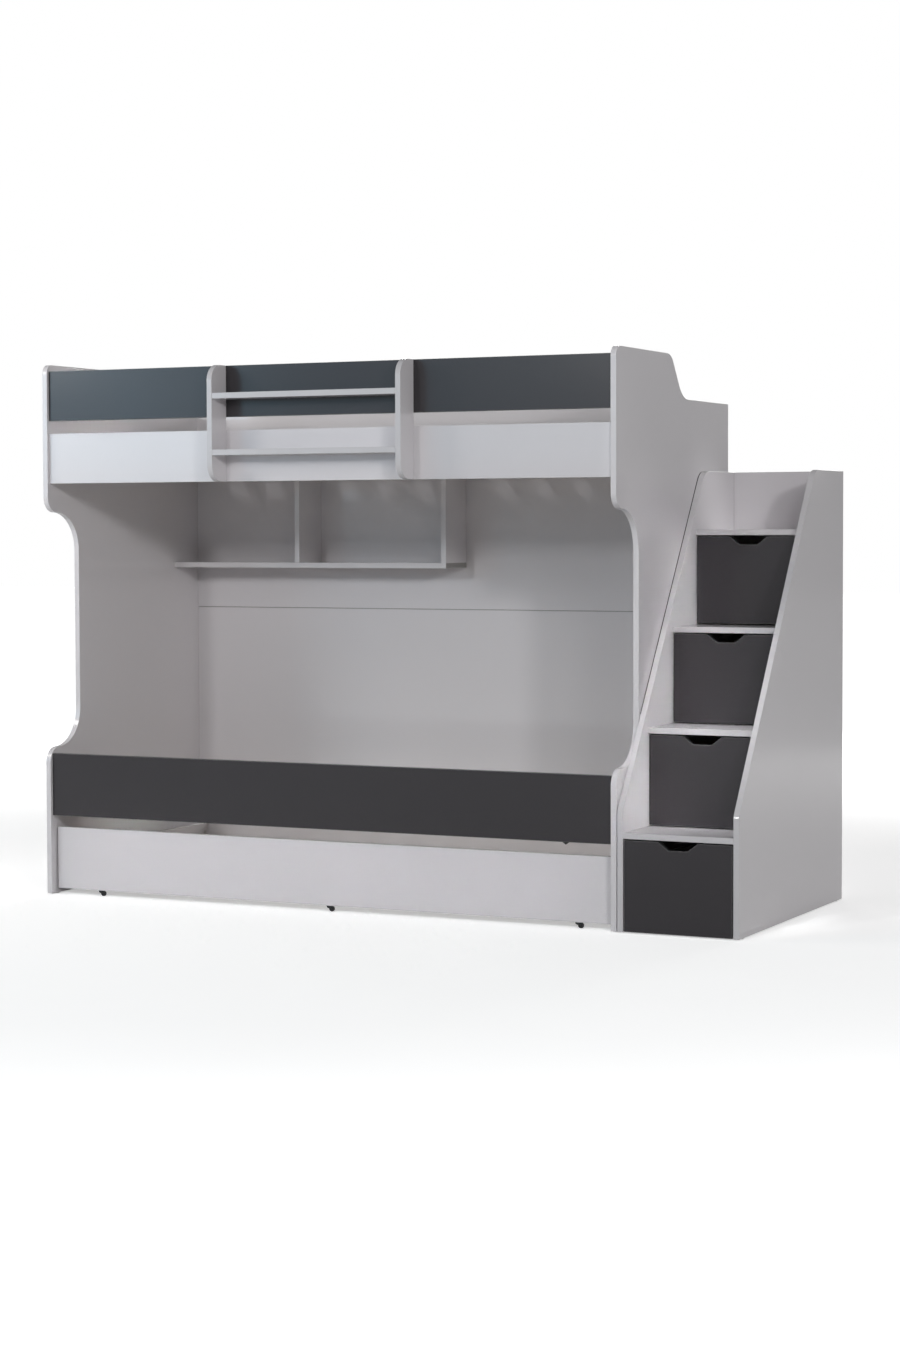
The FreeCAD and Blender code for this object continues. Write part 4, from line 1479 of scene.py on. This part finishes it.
@dataclass
class SlattedBases:
    """Ledgers, slats and the bracket of both bunks and of the trundle."""

    finishes: FinishSet
    fittings: Fittings
    rows: Rows
    ledger: float = 30 * MM
    ledger_edge: float = 1.5 * MM
    screw_inset: float = 150 * MM
    screw_count: int = 5
    slat_count: int = 14
    slat_width: float = 70 * MM
    bracket_spacing: float = 14 * MM
    bracket_plate: float = 3 * MM
    bracket_edge: float = 0.35 * MM
    bracket_screw: float = 16 * MM

    def pair(self, body: str, lowest: Vector, highest: Vector, across: Tuple[Vector, Vector]) -> List[Board]:
        """A front and a rear ledger that fill the depth of a box, with their screws.

        Args:
            body: The body they ride on.
            lowest: Lowest corner of the box.
            highest: Highest corner of the box.
            across: The box whose ends the screws keep away from.

        Returns:
            The ledgers.
        """
        bars = Board.pair(Axis.Y, lowest, highest, self.ledger, edge=self.ledger_edge, glue=0.0)
        for bar, surface, face in zip(bars, (bars[0].high, bars[1].low), (REAR, FRONT)):
            for x in spread(self.screw_count, across[0].x + self.screw_inset, across[1].x - self.screw_inset):
                self.fittings.screw(bar, Vector((x, surface, (lowest.z + highest.z) / 2)), face, body)
        return bars

    def build(self) -> None:
        """Build and dress the bases."""
        pine = self.finishes.pine_along
        low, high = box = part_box("bed_ledgers")
        bars = self.pair("bed", low, Vector((high.x, high.y, low.z + self.ledger)), box)
        bars += self.pair("bed", Vector((low.x, low.y, high.z - self.ledger)), high, box)
        board_piece("bed_ledger_bars", bars, pine, "bed_ledgers")
        bars = self.pair("trundle", *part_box("trundle_ledgers"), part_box("trundle_sides"))
        board_piece("trundle_ledger_bars", bars, pine, "trundle_ledgers", body="trundle")
        for node, body in (("upper_bed_slats", "bed"), ("lower_bed_slats", "bed"), ("trundle_slats", "trundle")):
            self.rows.slat_row(node, body, self.slat_count, self.slat_width)
        self.build_bracket()

    def build_bracket(self) -> None:
        """The pointed angle under the lower ledger and its two screws."""
        node, black, half = "ledger_bracket", self.finishes.black_metal, self.bracket_spacing / 2
        settle(eased_copy(node, node + "_angle", black, self.bracket_edge), black, node)
        middle = (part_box("bed_ledgers")[0].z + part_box("lower_front_rail")[0].z) / 2
        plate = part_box(node)[0].y + self.bracket_plate
        spots = [Spot(Vector((middle_x(node), plate, z)), REAR) for z in (middle - half, middle + half)]
        pattern = self.fittings.screw_pattern(self.bracket_screw)
        self.rows.scatter("bracket_screws", pattern, spots, self.finishes.zinc, turn=math.tau)


@dataclass
class FrontRack:
    """The rack on the front of the upper bunk: two round-nosed sides and two shelves."""

    finishes: FinishSet
    corner_radius: float = 52 * MM

    def build(self) -> None:
        """Build and dress the rack."""
        white = self.finishes.grey_edged
        for node in ("rack_left_side", "rack_right_side"):
            low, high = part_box(node)
            corners = [
                Corner(high.y, low.z),
                Corner(high.y, high.z),
                Corner(low.y, high.z, self.corner_radius),
                Corner(low.y, low.z, self.corner_radius),
            ]
            board_piece(node + "_board", [Board(Axis.X, low.x, high.x, corners)], white, node)
        shelves = Board.pair(Axis.Z, *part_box("rack_shelves"), BOARD)
        board_piece("rack_shelf_boards", shelves, white, "rack_shelves")


@dataclass
class WallShelf:
    """The shelf on the back wall of the lower bunk, with its divider and end; the shelf's own end has no band."""

    finishes: FinishSet
    fittings: Fittings
    bare_end: float = 0.3 * MM
    bare_edge: float = 0.1 * MM

    def build(self) -> None:
        """Build and dress the shelf."""
        white, margin = self.finishes.white, self.fittings.cam_margin
        low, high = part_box("wall_shelf_board")
        shelf = Board.between(Axis.Z, low, high)
        for y in (low.y + margin, high.y - margin):
            self.fittings.cam(shelf, "bed", Vector((low.x, y, low.z)), RIGHT, DOWN)
        board_piece("wall_shelf_plank", [shelf], white, "wall_shelf_board")
        inset = Vector((0.0, shelf.edge, shelf.edge))
        start = Vector((high.x, low.y, low.z)) + inset
        end = high + RIGHT * self.bare_end - inset
        bare = Board.between(Axis.X, start, end, edge=self.bare_edge, glue=0.0)
        board_piece("wall_shelf_bare_end", [bare], self.finishes.bare)
        for node in ("wall_shelf_divider", "wall_shelf_end"):
            board_piece(node + "_board", [Board.between(Axis.X, *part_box(node))], white, node)


@dataclass(frozen=True)
class Folding:
    """Sheet steel of the drawers' angles and channels."""

    sheet: float = 1.2 * MM
    corner: float = 0.25 * MM
    end: float = 0.2 * MM

    def add_to(self, mesh: MeshBuilder, corners: Sequence[Corner], front: float, rear: float) -> None:
        """Add a folded profile that runs from front to rear.

        Args:
            mesh: The builder.
            corners: The profile's corners in (X, Z).
            front: Its front end.
            rear: Its rear end.
        """
        mesh.loft(Axis.Y, rounded_loop(corners, self.corner), edge_stations(front, rear, self.end))


@dataclass
class Staircase:
    """Stair sides, back, treads, the channels that carry the drawers and a dark strip of painted shade in the gap
    beside the bed.
    """

    finishes: FinishSet
    fittings: Fittings
    folding: Folding = Folding()
    steps: int = 4
    rise: float = 300 * MM
    going: float = 200 * MM
    nose: float = 64 * MM
    lower_radius: float = 45 * MM
    upper_radius: float = 65 * MM
    channel_flange: float = 9 * MM
    channel_play: float = 0.3 * MM
    channel_bend: float = 1.8 * MM
    channel_inside: float = 0.7 * MM
    strip_foot: float = 640 * MM
    strip_reach: float = 100 * MM
    strip_depths: Tuple[float, float] = (0.8 * MM, 9 * MM)
    strip_edge: float = 0.1 * MM

    def edge_y(self, front: float, z: float, depth: float = 0.0) -> float:
        """Place of the sides' slanted edge at a height.

        Args:
            front: Front of the sides.
            z: The height.
            depth: Distance behind the edge.

        Returns:
            The place along Y.
        """
        slant = math.hypot(self.rise, self.going) / self.rise
        return front + (z - self.rise - self.nose) * self.going / self.rise + depth * slant

    def build(self) -> None:
        """Build and dress the staircase."""
        white, margin = self.finishes.grey_edged, self.fittings.cam_margin
        for node in ("stair_left_stringer", "stair_right_stringer"):
            low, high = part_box(node)
            corners = [
                Corner(low.y, low.z),
                Corner(low.y, self.rise + self.nose, self.lower_radius),
                Corner(self.edge_y(low.y, high.z), high.z, self.upper_radius),
                Corner(high.y, high.z),
                Corner(high.y, low.z),
            ]
            board_piece(node + "_board", [Board(Axis.X, low.x, high.x, corners)], white, node)
        back = Board.between(Axis.Y, *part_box("stair_back_panel"))
        self.fittings.end_cams(back, 3)
        board_piece("stair_back_board", [back], white, "stair_back_panel")
        for number in range(1, self.steps + 1):
            node = f"stair_tread_{number}"
            low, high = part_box(node)
            tread = Board.between(Axis.Z, low, high)
            for y in (low.y + margin, high.y - margin):
                for x, along in ((low.x, RIGHT), (high.x, LEFT)):
                    self.fittings.cam(tread, "bed", Vector((x, y, low.z)), along, DOWN)
            board_piece(node + "_board", [tread], white, node)
        self.build_channels()
        self.build_gap_shade_strip()

    def build_gap_shade_strip(self) -> None:
        """A dark strip of painted shade in the gap beside the end panel, just behind the slanted edge."""
        low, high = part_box("stair_left_stringer")
        rear = self.edge_y(low.y, high.z) + self.strip_reach
        front, back = (
            [
                Corner(self.edge_y(low.y, self.strip_foot, depth), self.strip_foot),
                Corner(self.edge_y(low.y, high.z - depth, depth), high.z - depth, self.upper_radius - depth),
                Corner(rear, high.z - depth),
            ]
            for depth in self.strip_depths
        )
        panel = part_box("right_end_panel")[1].x
        strip = Board(Axis.X, panel, low.x, front + back[::-1], edge=self.strip_edge, glue=0.0)
        # Painted shade: the dark strip makes the gap between the end panel and the stair side read as shadow.
        board_piece("stair_gap_strip", [strip], self.finishes.dark)

    def build_channels(self) -> None:
        """The folded channels on the stair sides, open towards the drawers."""
        node, runner, sheet = "drawer_runner_rails", self.finishes.runner, self.folding.sheet
        low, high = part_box(node)
        mesh = MeshBuilder()
        for number in range(1, self.steps + 1):
            angle_low, angle_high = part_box(f"drawer_{number}_runners")
            base, top = angle_low.z - sheet - self.channel_play, angle_high.z
            profile = [
                (0.0, base, self.channel_bend),
                (self.channel_flange, base, 0.0),
                (self.channel_flange, base + sheet, 0.0),
                (sheet, base + sheet, self.channel_inside),
                (sheet, top - sheet, self.channel_inside),
                (self.channel_flange, top - sheet, 0.0),
                (self.channel_flange, top, 0.0),
                (0.0, top, self.channel_bend),
            ]
            for wall, way in ((low.x, 1.0), (high.x, -1.0)):
                corners = [Corner(wall + way * x, z, radius) for x, z, radius in profile]
                self.folding.add_to(mesh, corners, angle_low.y + self.channel_play, angle_high.y)
        settle(mesh.build("drawer_channels", runner.materials), runner, node)


@dataclass
class Drawer:
    """One drawer: a dark front with a finger notch, a white box and the angles that it runs on."""

    finishes: FinishSet
    number: int
    folding: Folding = Folding()
    notch_top: float = 125 * MM
    notch_floor: float = 60 * MM
    notch_depth: float = 25 * MM
    notch_radius: float = 8 * MM
    side_board: float = 15 * MM
    bottom_rise: float = 12 * MM
    bottom_board: float = 4 * MM
    bottom_edge: float = 0.3 * MM
    angle_bend: float = 1.6 * MM
    angle_inside: float = 0.5 * MM

    @property
    def body(self) -> str:
        """The drawer's body."""
        return f"drawer_{self.number}"

    def build(self) -> None:
        """Build and dress the drawer."""
        self.build_front()
        self.build_box()
        self.build_angles()

    def build_front(self) -> None:
        """The front, with the notch in its top edge."""
        node = self.body + "_front"
        low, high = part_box(node)
        middle, radius = middle_x(node), self.notch_radius
        top, floor, depth = self.notch_top / 2, self.notch_floor / 2, self.notch_depth
        notch = ((top, 0.0), (floor, depth), (-floor, depth), (-top, 0.0))
        corners = [Corner(low.x, low.z), Corner(high.x, low.z), Corner(high.x, high.z)]
        corners += [Corner(middle + x, high.z - sunk, radius) for x, sunk in notch]
        corners += [Corner(low.x, high.z)]
        front = Board(Axis.Y, low.y, high.y, corners)
        board_piece(node + "_board", [front], self.finishes.dark, node, body=self.body)

    def build_box(self) -> None:
        """The sides, back and bottom."""
        node, side = self.body + "_box", self.side_board
        low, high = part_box(node)
        bottom = low.z + self.bottom_rise
        left, right, rear = low.x + side, high.x - side, high.y - side
        floor_top = Vector((right, rear, bottom + self.bottom_board))
        boards = Board.pair(Axis.X, low, high, side) + [
            Board.between(Axis.Y, Vector((left, rear, low.z)), Vector((right, high.y, high.z))),
            Board.between(Axis.Z, Vector((left, low.y, bottom)), floor_top, edge=self.bottom_edge),
        ]
        board_piece(node + "_boards", boards, self.finishes.white, node, body=self.body)

    def build_angles(self) -> None:
        """The folded angles on the box's sides."""
        node, runner, sheet = self.body + "_runners", self.finishes.runner, self.folding.sheet
        low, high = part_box(node)
        box_low, box_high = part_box(self.body + "_box")
        mesh = MeshBuilder()
        for wall, edge, way in ((box_low.x, low.x, -1.0), (box_high.x, high.x, 1.0)):
            web = wall + way * sheet
            corners = [
                Corner(wall, low.z, self.angle_bend),
                Corner(edge, low.z),
                Corner(edge, low.z + sheet),
                Corner(web, low.z + sheet, self.angle_inside),
                Corner(web, high.z),
                Corner(wall, high.z),
            ]
            self.folding.add_to(mesh, corners, low.y, high.y)
        settle(mesh.build(node + "_angles", runner.materials), runner, node, body=self.body)


@dataclass
class Trundle:
    """The roll-out trundle's boards and its casters."""

    finishes: FinishSet
    fittings: Fittings
    rows: Rows
    caster_count: int = 6
    fork_edge: float = 0.25 * MM
    stem_inset: float = 7 * MM
    stem_radius: float = 3.55 * MM
    wheel_radius: float = 9 * MM
    wheel_width: float = 8 * MM
    dish_radius: float = 5.8 * MM
    dish_depth: float = 1.2 * MM
    dish_lip: float = 0.25 * MM
    socket_radius: float = 5 * MM
    socket_foot: float = 19 * MM
    socket_length: float = 30 * MM
    flange_radius: float = 8 * MM
    flange: float = 1.5 * MM

    def build(self) -> None:
        """Build and dress the trundle."""
        white, margin = self.finishes.white, self.fittings.cam_margin
        for node in ("trundle_front", "trundle_rear_board"):
            board_piece(node + "_plank", [Board.between(Axis.Y, *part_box(node))], white, node, body="trundle")
        low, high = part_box("trundle_sides")
        sides = Board.pair(Axis.X, low, high, BOARD)
        for side, x, face in zip(sides, (sides[0].high, sides[1].low), (RIGHT, LEFT)):
            for z in (low.z + margin, high.z - margin):
                for y, along in ((low.y, REAR), (high.y, FRONT)):
                    self.fittings.cam(side, "trundle", Vector((x, y, z)), along, face)
        board_piece("trundle_side_boards", sides, white, "trundle_sides", body="trundle")
        self.build_casters()

    def build_casters(self) -> None:
        """Forks, wheels and the sleeves that the stems turn in."""
        nylon, spots = self.finishes.nylon, []
        for number in range(1, self.caster_count + 1):
            fork = f"caster_fork_{number}"
            settle(eased_copy(fork, fork + "_moulding", nylon, self.fork_edge), nylon, fork, body=f"caster_{number}")
            self.build_wheel(f"caster_wheel_{number}", f"wheel_{number}")
            low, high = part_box(fork)
            stem = Vector((low.x + self.stem_inset, (low.y + high.y) / 2, self.socket_foot))
            spots.append(Spot(stem, UP))
        sleeve = self.flange_radius - self.socket_radius
        levels = [
            (0.4 * MM, -self.flange, -QUARTER),
            (0.0, -self.flange + 0.4 * MM, 0.0),
            (0.0, -0.3 * MM, 0.0),
            (0.3 * MM, 0.0, QUARTER),
            (sleeve, 0.0, 0.0),
            (sleeve, self.socket_length, 0.0),
            (sleeve + 0.2 * MM, self.socket_length, QUARTER),
        ]
        hole = Recess(circle_loop(self.stem_radius, 24), self.socket_length, Side.LOW, Layer.BAND, 0.2 * MM)
        socket = turned(self.flange_radius, 32, [Station(*level) for level in levels], hole)
        self.rows.scatter("caster_sleeves", socket, spots, nylon, "caster_sockets", body="trundle")

    def build_wheel(self, node: str, body: str) -> None:
        """A wheel with a crowned tread, a moulding line and a dished hub.

        Args:
            node: The CAD node.
            body: The body it rides on.
        """
        low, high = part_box(node)
        middle = (low + high) / 2
        half, tread = self.wheel_width / 2, self.finishes.tread
        rim = [
            (1.5 * MM, half, QUARTER),
            (0.75 * MM, half - 0.2 * MM, 1.05),
            (0.2 * MM, half - 0.75 * MM, 0.52),
            (0.0, half - 1.5 * MM, 0.1),
            (0.0, 0.25 * MM, 0.0),
            (0.12 * MM, 0.12 * MM, 0.0),
        ]
        stations = [Station(inset, middle.y - level, -lean) for inset, level, lean in rim]
        stations += [Station(inset, middle.y + level, lean) for inset, level, lean in reversed(rim)]
        dish = circle_loop(self.dish_radius, 40, middle.x, middle.z)
        dishes = [Recess(dish, self.dish_depth, side, Layer.BAND, self.dish_lip) for side in Side]
        loop = circle_loop(self.wheel_radius, 56, middle.x, middle.z)
        mesh = MeshBuilder().loft(Axis.Y, loop, stations, dishes)
        settle(mesh.build(node + "_moulding", tread.materials), tread, node, body=body)


@dataclass
class Feet:
    """Glides under the boards, and the bolts that join the staircase to the bed."""

    finishes: FinishSet
    rows: Rows
    glide_radius: float = 8 * MM
    glide_height: float = 3 * MM
    glide_edge: float = 0.8 * MM
    glide_inset: float = 45 * MM
    cap_radius: float = 8.5 * MM
    cap_height: float = 2.5 * MM
    sleeve_radius: float = 4 * MM
    key_radius: float = 2.9 * MM
    key_corner: float = 0.15 * MM
    key_depth: float = 2.0 * MM
    bolt_front: float = 450 * MM
    bolt_rear: float = 146 * MM
    bolt_low: float = 530 * MM
    bolt_high: float = 1130 * MM

    def build(self) -> None:
        """Build and dress glides and bolts."""
        spots = []
        for node in ("left_end_panel", "right_end_panel", "stair_left_stringer", "stair_right_stringer"):
            low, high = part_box(node)
            for y in (low.y + self.glide_inset, high.y - self.glide_inset):
                spots.append(Spot(Vector((middle_x(node), y, self.glide_height)), UP))
        glide = turned(self.glide_radius, 40, edge_stations(-self.glide_height, 0.0, self.glide_edge))
        self.rows.scatter("foot_glide_pads", glide, spots, self.finishes.glide, "foot_glides")
        self.build_bolts()

    def build_bolts(self) -> None:
        """Sleeve bolts with a flat cap at each end."""
        low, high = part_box("right_end_panel")
        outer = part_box("stair_left_stringer")[1].x
        sleeve, top = self.cap_radius - self.sleeve_radius, self.cap_height
        levels = [
            (sleeve, (low.x - outer) / 2, -QUARTER),
            (sleeve, 0.0, 0.0),
            (0.3 * MM, 0.0, -QUARTER),
            (0.0, 0.3 * MM, 0.0),
            (0.0, top - 0.9 * MM, 0.0),
            (0.35 * MM, top - 0.35 * MM, 0.8),
            (1.2 * MM, top, QUARTER),
        ]
        turns = spread(7, 0.0, math.tau)[:6]
        hexagon = [Corner(self.key_radius * math.cos(t), self.key_radius * math.sin(t)) for t in turns]
        key = Recess(rounded_loop(hexagon, self.key_corner), self.key_depth)
        bolt = turned(self.cap_radius, 40, [Station(*level) for level in levels], key)
        front, rear = low.y + self.bolt_front, high.y - self.bolt_rear
        spots = []
        for y, z in ((front, self.bolt_low), (rear, self.bolt_low), (rear, self.bolt_high)):
            spots += [Spot(Vector((low.x, y, z)), LEFT), Spot(Vector((outer, y, z)), RIGHT)]
        self.rows.scatter("stair_bolt_caps", bolt, spots, self.finishes.zinc, "stair_joining_bolts", turn=math.tau)


# --- Studio -----------------------------------------------------------------------------------


@dataclass(frozen=True)
class Softbox:
    """A soft rectangular light."""

    name: str
    at: Place
    aim: Place
    width: float
    height: float
    power: float
    colour: Colour = WHITE_LIGHT
    spread: float = 180.0

    def build(self) -> None:
        """Hang the light."""
        lamp = bpy.data.lights.new(self.name, "AREA")
        lamp.shape = "RECTANGLE"
        lamp.size, lamp.size_y = self.width, self.height
        lamp.energy = self.power
        lamp.color = self.colour
        lamp.spread = math.radians(self.spread)
        holder = link(bpy.data.objects.new(self.name, lamp))
        holder.location = self.at
        holder.rotation_euler = (Vector(self.aim) - Vector(self.at)).to_track_quat("-Z", "Y").to_euler()


@dataclass
class Studio:
    """Floor, lights, world and camera."""

    finishes: FinishSet
    floor_reach: float = 40.0
    ambient: float = 0.05
    mirrored: float = 0.30
    aim: Place = (0.0, 0.0, 0.9)
    cool: Colour = (0.45, 0.78, 1.0)
    warm: Colour = (1.0, 0.965, 0.93)
    step_throw: Place = (1.82, -1.07, 2.13)
    step_size: float = 0.12
    step_spread: float = 8.0
    step_spots: Tuple[Tuple[Place, float], ...] = (
        ((0.88, -0.32, 0.42), 0.155),
        ((0.89, -0.10, 0.71), 0.125),
        ((0.88, 0.08, 1.02), 0.11),
        ((0.92, 0.32, 1.28), 0.08),
        ((0.83, -0.16, 1.12), 0.035),
    )
    eye: Place = (3.8928, -7.7382, 1.2005)
    yaw: float = 25.504
    pitch: float = -2.685
    roll: float = -0.146
    focal: float = 2667.9
    centre: Tuple[float, float] = (490.0, 655.0)
    picture: Tuple[float, float] = (900.0, 1350.0)
    sensor: float = 36.0
    sight: float = 200.0

    def build(self) -> None:
        """Set the studio up."""
        self.build_floor()
        for light in self.large_lights() + self.narrow_lights() + self.rear_lights() + self.step_lights():
            light.build()
        self.build_world()
        self.build_camera()
        bpy.context.scene.view_settings.view_transform = "Standard"

    def build_floor(self) -> None:
        """Lay the floor."""
        mesh = bpy.data.meshes.new("floor")
        reach = self.floor_reach
        ends = [(-reach, -reach, 0.0), (reach, -reach, 0.0), (reach, reach, 0.0), (-reach, reach, 0.0)]
        mesh.from_pydata(ends, [], [(0, 1, 2, 3)])
        mesh.materials.append(self.finishes.floor)
        link(bpy.data.objects.new("floor", mesh))

    def large_lights(self) -> List[Softbox]:
        """The softboxes in front of the bed.

        Returns:
            The lights, not yet built.
        """
        aim, left = self.aim, (-0.9, -0.4, 1.4)
        return [
            Softbox("key_front", (-1.73, -8.03, 3.18), aim, 0.5, 0.5, 76.0),
            Softbox("key_right", (6.0, -6.0, 3.1), aim, 0.6, 0.6, 108.0),
            Softbox("low_right", (6.0, -6.0, 1.6), aim, 0.5, 0.8, 6.0),
            Softbox("fill_right", (5.2, -6.9, 3.6), aim, 1.0, 1.5, 66.0),
            Softbox("front_high", (0.2, -8.0, 4.2), aim, 3.0, 1.6, 46.0),
            Softbox("window_left", (-5.2, -6.2, 2.6), aim, 2.0, 2.4, 30.0, self.cool),
            Softbox("cool_card", (-3.0, -5.6, 2.2), (-0.3, -0.4, 1.6), 3.4, 1.3, 12.0, self.cool),
            Softbox("near_left", (-2.6, -2.0, 2.3), left, 0.7, 0.7, 21.0, self.warm),
            Softbox("grazing_left", (-3.6, -1.3, 2.0), left, 0.6, 0.6, 22.0, self.warm),
        ]

    @staticmethod
    def narrow_lights() -> List[Softbox]:
        """Small lamps for the hollows that the softboxes leave too dark.

        Returns:
            The lights, not yet built.
        """
        rows = (
            ("over_stairs", (1.03, -0.8, 3.2), (1.03, -0.2, 0.5), 0.2, 0.2, 0.38, 13.0),
            ("low_front", (-0.19, -5.0, 0.55), (-0.19, -0.41, 0.12), 1.8, 0.1, 0.2, 6.0),
            ("under_bunk", (-0.19, -0.375, 0.284), (-0.19, 0.47, 0.12), 1.8, 0.03, 0.17, 16.0),
            ("under_bunk_left", (0.5, -0.36, 0.275), (-1.18, 0.0, 0.16), 0.06, 0.03, 0.13, 22.0),
            ("upper_bunk_left", (0.3, -0.34, 1.62), (-1.196, -0.15, 1.56), 0.1, 0.1, 0.23, 32.0),
        )
        return [Softbox(*row, spread=angle) for *row, angle in rows]

    def rear_lights(self) -> List[Softbox]:
        """The softboxes above, beside and behind the bed.

        Returns:
            The lights, not yet built.
        """
        return [
            Softbox("overhead", (0.0, -0.5, 5.2), (0.0, -0.2, 0.0), 4.0, 3.0, 3.0),
            Softbox("side_right", (8.0, -0.8, 2.4), self.aim, 2.4, 2.4, 44.0),
            Softbox("rear_left", (-2.4, 6.2, 3.0), self.aim, 2.4, 2.4, 150.0),
            Softbox("rear_right", (1.6, 6.4, 2.6), self.aim, 2.0, 2.0, 120.0),
        ]

    def step_lights(self) -> List[Softbox]:
        """Small lamps for the inner face of the staircase, all thrown the same way.

        Returns:
            The lights, not yet built.
        """
        size, lights = self.step_size, []
        for step, (spot, power) in enumerate(self.step_spots, 1):
            at = tuple(Vector(spot) + Vector(self.step_throw))
            lights.append(Softbox(f"step_{step}", at, spot, size, size, power, spread=self.step_spread))
        return lights

    def build_world(self) -> None:
        """An even surround that the camera sees as white."""
        world = bpy.data.worlds.new("studio_surround")
        bpy.context.scene.world = world
        tree = ShaderTree(world)
        seen = tree.seen()
        glossy = tree.out(tree.node("ShaderNodeLightPath"), "Is Glossy Ray")
        glow = self.ambient + seen * (1.0 - self.ambient) + glossy * (self.mirrored - self.ambient)
        sky = tree.node("ShaderNodeBackground", Color=opaque(WHITE_LIGHT), Strength=glow)
        tree.node("ShaderNodeOutputWorld", Surface=tree.out(sky, "Background"))

    def build_camera(self) -> None:
        """Set the camera up at the photograph's viewing angle."""
        data = bpy.data.cameras.new("camera")
        width, height = self.picture
        data.sensor_width = self.sensor
        data.lens = self.focal / height * self.sensor
        data.shift_x = (width / 2 - self.centre[0]) / height
        data.shift_y = (self.centre[1] - height / 2) / height
        data.clip_end = self.sight
        camera = link(bpy.data.objects.new("camera", data))
        camera.location = self.eye
        camera.rotation_euler = [math.radians(angle) for angle in (90 + self.pitch, -self.roll, self.yaw)]
        bpy.context.scene.camera = camera


def main() -> None:
    """Build the bed and its studio in order."""
    logging.basicConfig(level=logging.INFO, format="%(name)s: %(message)s")
    finishes = FinishSet()
    rows = Rows(finishes)
    fittings = Fittings(finishes, rows)
    BunkFrame(finishes, fittings).build()
    FrontRack(finishes).build()
    WallShelf(finishes, fittings).build()
    stairs = Staircase(finishes, fittings)
    stairs.build()
    for number in range(1, stairs.steps + 1):
        Drawer(finishes, number).build()
    Trundle(finishes, fittings, rows).build()
    SlattedBases(finishes, fittings, rows).build()
    fittings.set_cams("bed_cam", "bed", "cam_fittings")
    fittings.set_cams("trundle_cam", "trundle", "trundle_fittings")
    fittings.set_screws("bed_screws", "bed", "wood_screws")
    fittings.set_screws("trundle_screws", "trundle")
    Feet(finishes, rows).build()
    Studio(finishes).build()


if __name__ == "__main__":
    main()
